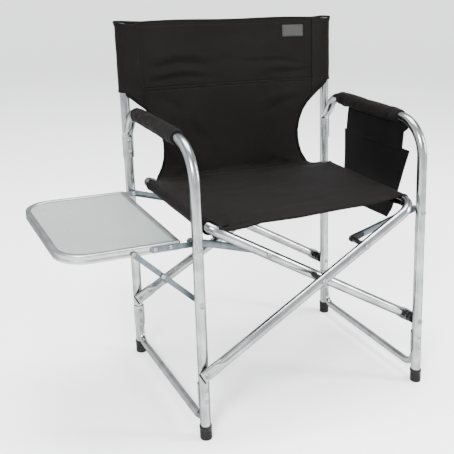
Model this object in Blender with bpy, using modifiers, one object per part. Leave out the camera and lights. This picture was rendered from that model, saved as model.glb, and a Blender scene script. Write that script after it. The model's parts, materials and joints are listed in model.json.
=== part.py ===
"""Folding aluminium camp chair with a drop-leaf side table and a hanging pocket.

Two side frames stand upright and are joined by two crossed U tubes whose upper
runs are the seat rails. Pushing the side frames together lifts the rails. The
chair faces -Y, +X is the sitter's left, +Z is up, and lengths are in metres.
"""

import math

import bmesh
import bpy
from mathutils import Matrix, Vector

# Overall layout, measured about the middle of the four feet.
SHIFT_X = 0.1207  # moves the middle of the bounding box onto the origin
SHIFT_Y = -0.0431
HEIGHT = 0.80
HALF_WIDTH = 0.272  # from the middle plane to the axis of a leg
FOOT_FRONT_Y = -0.200
FOOT_REAR_Y = 0.200
FRONT_LEAN = 0.107  # backward lean of the front legs, per metre of height
REAR_LEAN = 0.1055
GAP = 0.0003  # clearance left between pieces that touch
HEAD_GAP = 0.0010  # clearance under a rivet's head, where the tube it sits on leans

# Side frames.
TUBE_R = 0.011
BORE_R = (TUBE_R + GAP) / math.cos(math.pi / 12)  # bore of a faceted sleeve around a tube
ARM_Z = 0.606
ARM_BEND_R = 0.085
ARM_DROP_TOP = (0.214, 0.606)  # y, z of the corner behind the armrest
ARM_DROP_END = (0.2475, 0.549)
ARM_DROP_R = 0.045
SADDLE_R = 0.0135
ARM_SADDLE_Z = (0.493, 0.560)
POST_TOP_Z = 0.795
PAD_R = 0.0135
PAD_Y = (-0.055, 0.187)
LEG_END_Z = 0.0075  # lower end of a leg tube, inside its foot
FOOT_R = 0.0128
FOOT_H = 0.030
BRACE_R = 0.008
BRACE_Z = 0.034
BRACE_SADDLE_Z = (0.056, 0.125)
BRACE_CORNER_R = 0.030

# Crossed U tubes: lower pivots, centre pivot and rails.
PIVOT_Z = 0.151
CENTRE_Z = 0.303
RAIL_X = 0.237
CROSS_CORNER_R = 0.040
CROSS_STUB = 0.012  # flattened tube end past the lower pivot
FLAT_HALF = 0.0045
FLAT_LENGTH = 0.030
FLAT_BLEND = 0.022
FLAT_WIDEN = 1.20
RAIL_SLOPE = (CENTRE_Z - PIVOT_Z) / HALF_WIDTH
RAIL_Z = CENTRE_Z + RAIL_SLOPE * RAIL_X
OPEN_ANGLE = math.atan(RAIL_SLOPE)
ARM_LENGTH = math.hypot(HALF_WIDTH, CENTRE_Z - PIVOT_Z)

# Steel links between the legs and the crossed tubes.
BOLT_Z = 0.410
LINK_REACH = 0.1225  # from the centre pivot to a link's rivet, along the tube
LINK_HALF = 0.007
LINK_DEPTH = 0.007
LINK_WALL = 0.0014
LINK_END = 0.016  # length of the plastic end before the tube rivet
LINK_X = LINK_REACH * math.cos(OPEN_ANGLE)
LINK_Z = CENTRE_Z + LINK_REACH * math.sin(OPEN_ANGLE)

# Layers along Y: centre lines of the crossed tubes and front faces of the links.
CROSS_Y = {
    "a": {"front": (-0.1603, -0.1299), "rear": (0.2424, 0.2460)},
    "b": {"front": (-0.2038, -0.1734), "rear": (0.1950, 0.2115)},
}
LINK_Y = {
    ("left", "front"): -0.1240,
    ("right", "front"): -0.1385,
    ("left", "rear"): 0.2240,
    ("right", "rear"): 0.2240,
}

# Rivets, bolts and spacers.
PIN_R = 0.003
HOLE_R = 0.0036
HEAD_R = 0.0062
HEAD_H = 0.0026
TAIL_R = 0.0048
TAIL_H = 0.0012
SPACER_R = 0.0062

# Side table, its brackets and its elbow stays.
TABLE_X = (-0.537, -0.2975)
TABLE_Y = (-0.136, 0.220)
TABLE_TOP = 0.420
RIM_H = 0.0175
RIM_WALL = 0.002
RIM_LIP = 0.011
LIP_H = 0.0022
TABLE_CORNER_R = 0.062
PANEL_H = 0.0042
BRACKET_HALF = 0.006
BRACKET_END_X = -0.357
BRACKET_H = 0.0025
STAY_HALF = 0.005
STAY_H = 0.0025
STAY_LEG = (-HALF_WIDTH, 0.293)
STAY_TABLE = (-0.3965, 0.4080)
ELBOW_SHARE = 0.53  # where the elbow lies between the two, on the straight stay
STAY_ELBOW = tuple(a + (b - a) * ELBOW_SHARE for a, b in zip(STAY_LEG, STAY_TABLE))
STAY_Y = {"front": {"lower": -0.1430, "upper": -0.1397}, "rear": {"lower": 0.2125, "upper": 0.2094}}

# Fabric.
SLING_T = 0.003
SEAT_Z = 0.441
SEAT_Y = (-0.134, 0.190)
SEAT_REAR_Y = 0.230
SEAT_REAR_X = 0.185
SEAT_EDGE_X = 0.231
SEAT_NOTCH_X = 0.215  # the cloth is cut back where a rail bends down
SLEEVE_Y = {"left": (-0.088, 0.190), "right": (-0.134, 0.168)}
RAIL_SLEEVE_R = 0.0142
POST_SLEEVE_R = 0.0145
BAND_Z = (0.645, HEIGHT - 0.0015)
WAIST = [(0.272, 0.640), (0.236, 0.610), (0.200, 0.570), (0.185, 0.520), (0.187, 0.480), (0.205, 0.4448)]
BAG_X = (0.2705, 0.2955)
BAG_WALL = 0.0025
BAG_HEM_Z = 0.534
BAG_PANEL = [(-0.082, 0.590), (-0.074, 0.534), (-0.070, 0.500), (0.151, 0.500), (0.147, 0.590)]
BAG_POCKET = [(-0.096, 0.534), (-0.052, 0.385), (-0.034, 0.358), (0.146, 0.358), (0.156, 0.534)]

SIDES = {"left": -1, "right": 1}


def front_y(z):
    return FOOT_FRONT_Y + FRONT_LEAN * z


def rear_y(z):
    return FOOT_REAR_Y + REAR_LEAN * z


LEG_Y = {"front": front_y, "rear": rear_y}


# ---------------------------------------------------------------- materials

def make_material(name, colour, roughness, metallic):
    material = bpy.data.materials.new(name)
    material.use_nodes = True
    shader = material.node_tree.nodes["Principled BSDF"]
    shader.inputs["Base Color"].default_value = (*colour, 1.0)
    shader.inputs["Roughness"].default_value = roughness
    shader.inputs["Metallic"].default_value = metallic
    return material


def make_materials():
    return {
        "aluminium": make_material("satin_aluminium", (0.66, 0.67, 0.68), 0.32, 1.0),
        "steel": make_material("zinc_plated_steel", (0.36, 0.39, 0.41), 0.40, 1.0),
        "plastic": make_material("black_plastic", (0.018, 0.018, 0.018), 0.50, 0.0),
        "rubber": make_material("black_rubber", (0.022, 0.022, 0.022), 0.70, 0.0),
        "fabric": make_material("black_polyester", (0.026, 0.024, 0.023), 0.85, 0.0),
        "panel": make_material("grey_table_panel", (0.48, 0.51, 0.50), 0.35, 0.0),
    }


# ------------------------------------------------------------------ helpers

def clear_scene():
    for obj in list(bpy.data.objects):
        bpy.data.objects.remove(obj, do_unlink=True)


def make_collection(name):
    collection = bpy.data.collections.new(name)
    bpy.context.scene.collection.children.link(collection)
    return collection


def make_empty(name, location, parent, collection):
    empty = bpy.data.objects.new(name, None)
    empty.empty_display_size = 0.03
    empty.location = location
    empty.parent = parent
    collection.objects.link(empty)
    return empty


def add_mesh(name, mesh, collection, material=None):
    obj = bpy.data.objects.new(name, mesh)
    collection.objects.link(obj)
    if material:
        mesh.materials.clear()
        mesh.materials.append(material)
    return obj


def smooth_round(obj):
    obj.data.shade_smooth()
    obj.data.set_sharp_from_angle(angle=math.radians(35))


def as_mesh(obj, collection, weld=0.00002):
    """Replace an object by the mesh that its curve or its modifiers make."""
    bpy.context.view_layer.update()
    evaluated = obj.evaluated_get(bpy.context.evaluated_depsgraph_get())
    mesh = bpy.data.meshes.new_from_object(evaluated)
    name = obj.name
    matrix = obj.matrix_world.copy()
    material = obj.data.materials[0] if obj.data.materials else None
    bpy.data.objects.remove(obj, do_unlink=True)
    bm = bmesh.new()
    bm.from_mesh(mesh)
    bmesh.ops.remove_doubles(bm, verts=bm.verts, dist=weld)
    bm.to_mesh(mesh)
    bm.free()
    solid = add_mesh(name, mesh, collection, material)
    solid.matrix_world = matrix
    return solid


def rounded_path(corners, radii, steps=4):
    """A polyline through 3-D corners, each inner one rounded by an arc."""
    corners = [Vector(corner) for corner in corners]
    path = [corners[0]]
    for before, corner, after, radius in zip(corners, corners[1:], corners[2:], radii):
        into = (corner - before).normalized()
        out = (after - corner).normalized()
        turn = into.angle(out)
        reach = radius * math.tan(turn / 2)
        inward = (out - into).normalized()
        centre = corner + inward * (radius / math.cos(turn / 2))
        start = corner - into * reach - centre
        axis = into.cross(out).normalized()
        for step in range(steps + 1):
            spin = Matrix.Rotation(turn * step / steps, 3, axis)
            path.append(centre + spin @ start)
    path.append(corners[-1])
    return path


def tube(name, path, radius, collection, material, resolution=4):
    """A solid rod along a path, made as a bevelled curve and turned into a mesh."""
    curve = bpy.data.curves.new(name, "CURVE")
    curve.dimensions = "3D"
    curve.bevel_depth = radius
    curve.bevel_resolution = resolution
    curve.use_fill_caps = True
    curve.twist_mode = "MINIMUM"
    spline = curve.splines.new("POLY")
    spline.points.add(len(path) - 1)
    for point, place in zip(spline.points, path):
        point.co = (*place, 1.0)
    curve.materials.append(material)
    obj = bpy.data.objects.new(name, curve)
    collection.objects.link(obj)
    obj = as_mesh(obj, collection)
    smooth_round(obj)
    return obj


def plate(name, outlines, thickness, collection, material, frame):
    """A flat outline, with holes if several are given, thickened both ways from its plane."""
    curve = bpy.data.curves.new(name, "CURVE")
    curve.dimensions = "2D"
    curve.fill_mode = "BOTH"
    curve.extrude = thickness / 2
    for outline in outlines:
        spline = curve.splines.new("POLY")
        spline.points.add(len(outline) - 1)
        for point, place in zip(spline.points, outline):
            point.co = (place[0], place[1], 0.0, 1.0)
        spline.use_cyclic_u = True
    curve.materials.append(material)
    obj = bpy.data.objects.new(name, curve)
    collection.objects.link(obj)
    obj.matrix_world = frame
    return as_mesh(obj, collection)


def facing_y(y):
    """Frame whose plane is XZ at the given y: outline points are (x, z)."""
    return Matrix.Translation((0, y, 0)) @ Matrix.Rotation(math.pi / 2, 4, "X")


def facing_x(x):
    """Frame whose plane is YZ at the given x: outline points are (y, z)."""
    turn = Matrix(((0, 0, 1, 0), (1, 0, 0, 0), (0, 1, 0, 0), (0, 0, 0, 1)))
    return Matrix.Translation((x, 0, 0)) @ turn


def facing_z(z):
    return Matrix.Translation((0, 0, z))


def turned(name, profile, location, along_y, collection, material, sides=10):
    """A turned piece: (radius, height) profile from top to bottom, about Z or Y."""
    mesh = bpy.data.meshes.new(name)
    points = [(radius, 0, height) for radius, height in profile]
    closed = points[0][0] > 0
    edges = [(i, i + 1) for i in range(len(points) - 1)]
    if closed:
        edges.append((len(points) - 1, 0))
    mesh.from_pydata(points, edges, [])
    obj = add_mesh(name, mesh, collection, material)
    screw = obj.modifiers.new("turn", "SCREW")
    screw.steps = sides
    screw.render_steps = sides
    screw.use_merge_vertices = True
    screw.merge_threshold = 0.00001
    obj.location = location
    if along_y:
        obj.rotation_euler = (math.pi / 2, 0, 0)
    obj = as_mesh(obj, collection)
    smooth_round(obj)
    return obj


def rod_cutter(name, start, end, radius, cutters, sides=12):
    """A hidden cylinder used to cut a hole."""
    start = Vector(start)
    end = Vector(end)
    mesh = bpy.data.meshes.new(name)
    bm = bmesh.new()
    length = (end - start).length
    bmesh.ops.create_cone(
        bm, cap_ends=True, segments=sides, radius1=radius, radius2=radius, depth=length
    )
    bm.to_mesh(mesh)
    bm.free()
    obj = add_mesh(name, mesh, cutters)
    obj.matrix_world = (
        Matrix.Translation((start + end) / 2) @ (end - start).to_track_quat("Z", "Y").to_matrix().to_4x4()
    )
    hide(obj)
    return obj


def hide(obj):
    obj.hide_render = True
    obj.display_type = "WIRE"


def combine(obj, other, operation):
    modifier = obj.modifiers.new(operation.lower(), "BOOLEAN")
    modifier.operation = operation
    modifier.solver = "EXACT"
    modifier.object = other


def drill(obj, x, z, y_range, cutters, radius=HOLE_R):
    """Cut a round hole along Y through an object."""
    name = f"{obj.name}_hole_{len(obj.modifiers)}"
    cutter = rod_cutter(name, (x, y_range[0], z), (x, y_range[1], z), radius, cutters, sides=10)
    combine(obj, cutter, "DIFFERENCE")


def pin(name, x, z, head_y, tail_y, collection, material, tail_r=TAIL_R):
    """A riveted pin along Y with a domed head at head_y and a small closed end at tail_y."""
    toward = 1 if tail_y > head_y else -1
    length = abs(tail_y - head_y) + HEAD_GAP * 2
    profile = [
        (0.0, HEAD_H),
        (HEAD_R * 0.62, HEAD_H * 0.82),
        (HEAD_R, HEAD_H * 0.25),
        (HEAD_R, 0.0),
        (PIN_R, 0.0),
        (PIN_R, -length),
        (tail_r, -length),
        (tail_r, -length - TAIL_H * 0.5),
        (0.0, -length - TAIL_H),
    ]
    place = (x, head_y - toward * HEAD_GAP, z)
    obj = turned(name, profile, place, True, collection, material, sides=8)
    if toward < 0:
        obj.matrix_world = Matrix.Translation(place) @ Matrix.Rotation(-math.pi / 2, 4, "X")
    return obj


def pin_short_of(name, x, z, head_y, face_y, collection, material):
    """A pin that ends just before the face of a piece that it can't ride with."""
    toward = 1 if face_y > head_y else -1
    tail_y = face_y - toward * (HEAD_GAP + TAIL_H + GAP)
    return pin(name, x, z, head_y, tail_y, collection, material, tail_r=PIN_R)


def closed_head(obj, x, z, face_y, toward, cutters, material):
    """Round rivet head grown out of a piece's face, on the side given by toward."""
    name = f"{obj.name}_closed_head"
    profile = [(0.0, HEAD_H), (HEAD_R * 0.7, HEAD_H * 0.7), (HEAD_R, 0.0), (HEAD_R, -0.001), (0.0, -0.001)]
    head = turned(name, profile, (x, face_y, z), True, cutters, material, sides=8)
    if toward > 0:
        head.matrix_world = Matrix.Translation((x, face_y, z)) @ Matrix.Rotation(-math.pi / 2, 4, "X")
    hide(head)
    combine(obj, head, "UNION")


def spacer(name, x, z, y_range, collection, material, outer=SPACER_R):
    """A ring around a pin, filling the space between two faces."""
    low = min(y_range) + HEAD_GAP
    length = abs(y_range[1] - y_range[0]) - 2 * HEAD_GAP
    profile = [(outer, length), (outer, 0.0), (HOLE_R, 0.0), (HOLE_R, length)]
    return turned(name, profile, (x, low + length, z), True, collection, material, sides=8)


def stadium(start, end, half, steps=5):
    """Outline of a flat bar with round ends, from (x, z) to (x, z)."""
    start = Vector(start)
    end = Vector(end)
    heading = math.atan2(end.y - start.y, end.x - start.x)
    points = []
    for centre, base in ((end, heading - math.pi / 2), (start, heading + math.pi / 2)):
        for step in range(steps + 1):
            angle = base + math.pi * step / steps
            points.append((centre.x + half * math.cos(angle), centre.y + half * math.sin(angle)))
    return points


def lean_mesh(obj, lean):
    """Slide each point of an object along Y in proportion to its height."""
    matrix = obj.matrix_world.copy()
    back = matrix.inverted()
    for vertex in obj.data.vertices:
        place = matrix @ vertex.co
        place.y += lean * place.z
        vertex.co = back @ place


# -------------------------------------------------------------- side frames

def saddle(name, x, leg, z_range, facing, parts, cutters, material):
    """A half pipe that hugs a leg on the side given by facing, +1 or -1 along Y."""
    lean = FRONT_LEAN if leg == "front" else REAR_LEAN
    foot = FOOT_FRONT_Y if leg == "front" else FOOT_REAR_Y
    outer = []
    inner = []
    for step in range(9):
        angle = math.pi * step / 8
        side = math.cos(angle)
        depth = math.sin(angle) * facing
        outer.append((x + SADDLE_R * side, foot + SADDLE_R * depth))
        inner.append((x + TUBE_R * side, foot + TUBE_R * depth))
    outline = outer + inner[::-1]
    height = z_range[1] - z_range[0]
    frame = facing_z((z_range[0] + z_range[1]) / 2)
    obj = plate(name, [outline], height, parts, material, frame)
    lean_mesh(obj, lean)
    return obj


def leg_cutter(name, x, leg, z_range, cutters):
    start = (x, LEG_Y[leg](z_range[0]), z_range[0])
    end = (x, LEG_Y[leg](z_range[1]), z_range[1])
    return rod_cutter(name, start, end, BORE_R, cutters, sides=16)


def side_frame_tube(side, parts, cutters, material):
    """Front leg, armrest and rear drop in one bent tube, cupped onto the rear post."""
    x = SIDES[side] * HALF_WIDTH
    corners = [
        (x, front_y(LEG_END_Z), LEG_END_Z),
        (x, front_y(ARM_Z), ARM_Z),
        (x, *ARM_DROP_TOP),
        (x, *ARM_DROP_END),
    ]
    path = rounded_path(corners, [ARM_BEND_R, ARM_DROP_R], steps=6)
    obj = tube(f"{side}_frame_tube", path, TUBE_R, parts, material)
    cup = saddle(f"{side}_arm_saddle", x, "rear", ARM_SADDLE_Z, -1, cutters, cutters, material)
    hide(cup)
    combine(obj, cup, "UNION")
    combine(obj, leg_cutter(f"{side}_arm_post_clearance", x, "rear", (0.46, 0.62), cutters), "DIFFERENCE")
    drill(obj, x, PIVOT_Z, (-0.25, -0.10), cutters)
    drill(obj, x, BOLT_Z, (-0.25, -0.10), cutters)
    if side == "left":
        drill(obj, x, STAY_LEG[1], (-0.25, -0.10), cutters)
    return obj


def rear_post(side, parts, cutters, material):
    x = SIDES[side] * HALF_WIDTH
    path = [(x, rear_y(z), z) for z in (LEG_END_Z, POST_TOP_Z)]
    obj = tube(f"{side}_rear_post", path, TUBE_R, parts, material)
    drill(obj, x, PIVOT_Z, (0.15, 0.30), cutters)
    drill(obj, x, BOLT_Z, (0.15, 0.30), cutters)
    if side == "left":
        drill(obj, x, STAY_LEG[1], (0.15, 0.30), cutters)
    return obj


def lower_brace(side, parts, cutters, material):
    """Thin U tube just above the feet, its two ends cupped onto the legs."""
    x = SIDES[side] * HALF_WIDTH
    top = BRACE_SADDLE_Z[0] + 0.030
    inset = 0.007
    corners = [
        (x, front_y(top) + inset, top),
        (x, front_y(BRACE_Z) + inset + 0.012, BRACE_Z),
        (x, rear_y(BRACE_Z) - inset - 0.012, BRACE_Z),
        (x, rear_y(top) - inset, top),
    ]
    path = rounded_path(corners, [BRACE_CORNER_R, BRACE_CORNER_R], steps=5)
    obj = tube(f"{side}_lower_brace", path, BRACE_R, parts, material, resolution=3)
    for leg, facing in (("front", 1), ("rear", -1)):
        name = f"{side}_{leg}_brace_saddle"
        cup = saddle(name, x, leg, BRACE_SADDLE_Z, facing, cutters, cutters, material)
        hide(cup)
        combine(obj, cup, "UNION")
        clearance = leg_cutter(f"{side}_{leg}_brace_clearance", x, leg, (0.02, 0.16), cutters)
        combine(obj, clearance, "DIFFERENCE")
    return obj


def foot(side, leg, parts, material):
    """Rubber cap, flat underneath and leaning with its leg."""
    profile = [
        (0.0, 0.005),
        (BORE_R, 0.005),
        (BORE_R, FOOT_H),
        (FOOT_R, FOOT_H),
        (FOOT_R, 0.0015),
        (FOOT_R - 0.0015, 0.0),
        (0.0, 0.0),
    ]
    x = SIDES[side] * HALF_WIDTH
    base = FOOT_FRONT_Y if leg == "front" else FOOT_REAR_Y
    obj = turned(f"{side}_{leg}_foot", profile, (x, base, 0), False, parts, material, sides=16)
    lean_mesh(obj, FRONT_LEAN if leg == "front" else REAR_LEAN)
    return obj


def arm_pad(side, parts, material):
    """Sleeve around the straight run of the armrest."""
    profile = [
        (PAD_R, PAD_Y[1] - PAD_Y[0]),
        (PAD_R, 0.0),
        (BORE_R, 0.0),
        (BORE_R, PAD_Y[1] - PAD_Y[0]),
    ]
    place = (SIDES[side] * HALF_WIDTH, PAD_Y[1], ARM_Z)
    return turned(f"{side}_arm_pad", profile, place, True, parts, material, sides=12)


# ------------------------------------------------------------- crossed tubes

def cross_point(which, arm, x):
    """Place on the centre line of a crossed tube, for a given x."""
    rising = 1 if which == "b" else -1
    z = CENTRE_Z + RAIL_SLOPE * x * rising
    bottom, top = CROSS_Y[which][arm]
    share = (z - PIVOT_Z) / (RAIL_Z - PIVOT_Z)
    return Vector((x, bottom + (top - bottom) * share, z))


def flatten_ends(obj, which):
    """Squash the two lower ends of a crossed tube to the shape of a pressed tube."""
    foot_side = -1 if which == "b" else 1
    along = Vector((-foot_side * math.cos(OPEN_ANGLE), 0, math.sin(OPEN_ANGLE)))
    across = Vector((foot_side * math.sin(OPEN_ANGLE), 0, math.cos(OPEN_ANGLE)))
    for vertex in obj.data.vertices:
        arm = "front" if vertex.co.y < 0.03 else "rear"
        pivot = cross_point(which, arm, foot_side * HALF_WIDTH)
        offset = vertex.co - pivot
        distance = offset.dot(along) + CROSS_STUB
        if distance > FLAT_LENGTH + FLAT_BLEND:
            continue
        share = max(0.0, min(1.0, (FLAT_LENGTH + FLAT_BLEND - distance) / FLAT_BLEND))
        share = share * share * (3 - 2 * share)
        axis = cross_point(which, arm, vertex.co.x)
        squash = 1 + (FLAT_HALF / TUBE_R - 1) * share
        widen = (FLAT_WIDEN - 1) * share
        vertex.co.y = axis.y + (vertex.co.y - axis.y) * squash
        vertex.co += across * (offset.dot(across) * widen)


def cross_tube(which, parts, cutters, material):
    """One U tube: two arms from the lower pivots up to a seat rail."""
    foot_side = -1 if which == "b" else 1
    foot_x = foot_side * (HALF_WIDTH + CROSS_STUB * math.cos(OPEN_ANGLE))
    rail_x = -foot_side * RAIL_X
    rings = []
    for distance in (FLAT_LENGTH, FLAT_LENGTH + FLAT_BLEND / 2, FLAT_LENGTH + FLAT_BLEND):
        rings.append(foot_side * (HALF_WIDTH - (distance - CROSS_STUB) * math.cos(OPEN_ANGLE)))
    corners = [cross_point(which, "front", x) for x in (foot_x, rail_x)]
    corners += [cross_point(which, "rear", x) for x in (rail_x, foot_x)]
    bends = rounded_path(corners, [CROSS_CORNER_R, CROSS_CORNER_R], steps=6)
    extra_front = [cross_point(which, "front", x) for x in rings]
    extra_rear = [cross_point(which, "rear", x) for x in reversed(rings)]
    path = bends[:1] + extra_front + bends[1:-1] + extra_rear + bends[-1:]
    obj = tube(f"cross_tube_{which}", path, TUBE_R, parts, material)
    flatten_ends(obj, which)
    for arm in ("front", "rear"):
        for x in (foot_side * HALF_WIDTH, 0.0, -foot_side * LINK_X):
            centre = cross_point(which, arm, x)
            reach = 0.03 if arm == "front" else 0.02
            drill(obj, x, centre.z, (centre.y - reach, centre.y + reach), cutters)
    return obj


# -------------------------------------------------------------------- links

def link_in_front_of_tube(side, leg):
    """True where the crossed tube lies behind the link that it is riveted to."""
    which = "a" if side == "left" else "b"
    return cross_point(which, leg, SIDES[side] * LINK_X).y > LINK_Y[side, leg]


def link(side, leg, parts, cutters, materials):
    """Pressed channel from a leg bolt, with a plastic end riveted to a crossed tube."""
    sign = SIDES[side]
    leg_end = Vector((sign * HALF_WIDTH, BOLT_Z))
    tube_end = Vector((sign * LINK_X, LINK_Z))
    along = (tube_end - leg_end).normalized()
    steel_end = tube_end - along * LINK_END
    low = LINK_Y[side, leg]
    middle = low + LINK_DEPTH / 2
    across = Vector((-along.y, along.x))
    whole = stadium(leg_end, steel_end, LINK_HALF)
    round_end = [p for p in whole if (Vector(p) - leg_end).dot(along) <= 1e-6]
    outline = [tuple(steel_end - across * LINK_HALF), tuple(steel_end + across * LINK_HALF)] + round_end
    bar = plate(f"{side}_{leg}_link", [outline], LINK_DEPTH, parts, materials["steel"], facing_y(middle))
    inner = stadium(leg_end, tube_end, LINK_HALF - LINK_WALL)
    open_side = 1 if leg == "front" else -1
    name = f"{side}_{leg}_link_groove"
    frame = facing_y(middle + open_side * LINK_WALL)
    groove = plate(name, [inner], LINK_DEPTH, cutters, materials["steel"], frame)
    hide(groove)
    combine(bar, groove, "DIFFERENCE")
    drill(bar, leg_end.x, leg_end.y, (low - 0.01, low + LINK_DEPTH + 0.01), cutters)
    end_start = steel_end + along * GAP
    half = LINK_HALF + 0.0008
    whole = stadium(end_start, tube_end, half)
    cap_end = [p for p in whole if (Vector(p) - tube_end).dot(along) >= -1e-6]
    cap_outline = cap_end + [tuple(end_start + across * half), tuple(end_start - across * half)]
    name = f"{side}_{leg}_link_end"
    cap = plate(name, [cap_outline], LINK_DEPTH, parts, materials["plastic"], facing_y(middle))
    if link_in_front_of_tube(side, leg):
        closed_head(cap, *tube_end, low, -1, cutters, materials["plastic"])
    else:
        closed_head(cap, *tube_end, low + LINK_DEPTH, 1, cutters, materials["plastic"])
    return bar, cap


# -------------------------------------------------------------------- table

def table_outline(inset):
    """Rectangle with two round outer corners, (x, y), drawn inset from the table's edge."""
    low_x = TABLE_X[0] + inset
    high_x = TABLE_X[1] - inset
    low_y = TABLE_Y[0] + inset
    high_y = TABLE_Y[1] - inset
    radius = TABLE_CORNER_R - inset
    points = [(high_x, low_y), (high_x, high_y)]
    for centre_y, start in ((high_y - radius, math.pi / 2), (low_y + radius, math.pi)):
        for step in range(7):
            angle = start + math.pi / 2 * step / 6
            points.append((low_x + radius + radius * math.cos(angle), centre_y + radius * math.sin(angle)))
    return points


def table_rim(parts, cutters, material):
    """Aluminium edge profile: an outer wall with a lip over the panel's edge."""
    middle = TABLE_TOP - RIM_H / 2
    rim = plate("table_rim", [table_outline(0.0)], RIM_H, parts, material, facing_z(middle))
    room = plate(
        "table_rim_room", [table_outline(RIM_WALL)], RIM_H, cutters, material, facing_z(middle - LIP_H)
    )
    window = plate("table_rim_window", [table_outline(RIM_LIP)], 0.03, cutters, material, facing_z(middle))
    for cutter in (room, window):
        hide(cutter)
        combine(rim, cutter, "DIFFERENCE")
    drill(rim, STAY_TABLE[0], STAY_TABLE[1], (TABLE_Y[0] - 0.01, TABLE_Y[0] + 0.01), cutters)
    drill(rim, STAY_TABLE[0], STAY_TABLE[1], (TABLE_Y[1] - 0.01, TABLE_Y[1] + 0.01), cutters)
    return rim


def table_panel(parts, material):
    middle = TABLE_TOP - LIP_H - GAP - PANEL_H / 2
    return plate(
        "table_panel", [table_outline(RIM_WALL + GAP)], PANEL_H, parts, material, facing_z(middle)
    )


def table_bracket(leg, parts, cutters, material):
    """Flat bar riveted to the table's edge and turning on the leg bolt."""
    start = (-HALF_WIDTH, BOLT_Z)
    end = (BRACKET_END_X, BOLT_Z + 0.0016)
    low = TABLE_Y[0] - GAP - BRACKET_H if leg == "front" else TABLE_Y[1] + GAP
    outline = stadium(start, end, BRACKET_HALF)
    bar = plate(f"{leg}_table_bracket", [outline], BRACKET_H, parts, material, facing_y(low + BRACKET_H / 2))
    drill(bar, *start, (low - 0.01, low + BRACKET_H + 0.01), cutters)
    return bar


def stay_bar(leg, which, parts, cutters, material):
    """One half of an elbow stay under the table."""
    far = STAY_LEG if which == "lower" else STAY_TABLE
    low = STAY_Y[leg][which]
    outline = stadium(far, STAY_ELBOW, STAY_HALF)
    bar = plate(f"{leg}_{which}_stay", [outline], STAY_H, parts, material, facing_y(low + STAY_H / 2))
    drill(bar, *far, (low - 0.01, low + STAY_H + 0.01), cutters)
    if which == "lower":
        drill(bar, *STAY_ELBOW, (low - 0.01, low + STAY_H + 0.01), cutters)
    elif leg == "front":
        closed_head(bar, *STAY_ELBOW, low + STAY_H, 1, cutters, material)
    else:
        closed_head(bar, *STAY_ELBOW, low, -1, cutters, material)
    return bar


# ------------------------------------------------------------------- fabric

def seat_sling(parts, cutters, material):
    """Seat cloth with a sleeve around each rail."""
    front, back = SEAT_Y
    left_front = SLEEVE_Y["left"][0]
    right_back = SLEEVE_Y["right"][1]
    outline = [(-SEAT_NOTCH_X, front), (SEAT_EDGE_X, front), (SEAT_EDGE_X, right_back)]
    outline += [(SEAT_NOTCH_X, right_back), (SEAT_NOTCH_X, back), (SEAT_REAR_X, back)]
    outline += [(SEAT_REAR_X, SEAT_REAR_Y), (-SEAT_REAR_X, SEAT_REAR_Y), (-SEAT_REAR_X, back)]
    outline += [(-SEAT_EDGE_X, back), (-SEAT_EDGE_X, left_front), (-SEAT_NOTCH_X, left_front)]
    frame = facing_z(SEAT_Z + SLING_T / 2)
    cloth = plate("seat_sling", [outline], SLING_T, parts, material, frame)
    for side, sign in SIDES.items():
        x = sign * RAIL_X
        ends = [(x, y, RAIL_Z) for y in SLEEVE_Y[side]]
        sleeve = rod_cutter(f"{side}_rail_sleeve", *ends, RAIL_SLEEVE_R, cutters, sides=14)
        combine(cloth, sleeve, "UNION")
        ends = ((x, -0.20, RAIL_Z), (x, 0.27, RAIL_Z))
        room = rod_cutter(f"{side}_rail_room", *ends, BORE_R, cutters, sides=14)
        combine(cloth, room, "DIFFERENCE")
    return cloth


def back_sling(parts, cutters, material):
    """Back cloth: a wide band sleeved over the posts, narrowing to a waist below."""
    half = [(HALF_WIDTH, BAND_Z[1]), (HALF_WIDTH, BAND_Z[0])] + WAIST
    outline = half + [(-x, z) for x, z in reversed(half)]
    front = FOOT_REAR_Y - POST_SLEEVE_R
    cloth = plate("back_sling", [outline], SLING_T, parts, material, facing_y(front + SLING_T / 2))
    lean_mesh(cloth, REAR_LEAN)
    for side, sign in SIDES.items():
        x = sign * HALF_WIDTH
        ends = [(x, rear_y(z), z) for z in BAND_Z]
        sleeve = rod_cutter(f"{side}_post_sleeve", *ends, POST_SLEEVE_R, cutters, sides=14)
        combine(cloth, sleeve, "UNION")
        ends = [(x, rear_y(z), z) for z in (0.40, 0.85)]
        room = rod_cutter(f"{side}_post_room", *ends, BORE_R, cutters, sides=14)
        combine(cloth, room, "DIFFERENCE")
    return cloth


def side_pocket(parts, cutters, material):
    """Cloth pocket that hangs from the right armrest, open at the top."""
    back_middle = BAG_X[0] + BAG_WALL / 2
    bag = plate("side_pocket", [BAG_PANEL], BAG_WALL, parts, material, facing_x(back_middle))
    depth = BAG_X[1] - BAG_X[0]
    middle = (BAG_X[0] + BAG_X[1]) / 2
    pouch = plate("side_pocket_pouch", [BAG_POCKET], depth, cutters, material, facing_x(middle))
    shrink = BAG_WALL
    inner = [
        (BAG_POCKET[0][0] + shrink + 0.001, BAG_HEM_Z + 0.01),
        (BAG_POCKET[0][0] + shrink + 0.001, BAG_HEM_Z),
        (BAG_POCKET[1][0] + shrink, BAG_POCKET[1][1]),
        (BAG_POCKET[2][0] + shrink, BAG_POCKET[2][1] + shrink),
        (BAG_POCKET[3][0] - shrink, BAG_POCKET[3][1] + shrink),
        (BAG_POCKET[4][0] - shrink, BAG_HEM_Z),
        (BAG_POCKET[4][0] - shrink, BAG_HEM_Z + 0.01),
    ]
    room = plate(
        "side_pocket_room", [inner], depth - 2 * BAG_WALL, cutters, material, facing_x(middle)
    )
    for cutter, operation in ((pouch, "UNION"), (room, "DIFFERENCE")):
        hide(cutter)
        combine(bag, cutter, operation)
    return bag


# ----------------------------------------------------------------- fasteners

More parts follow.
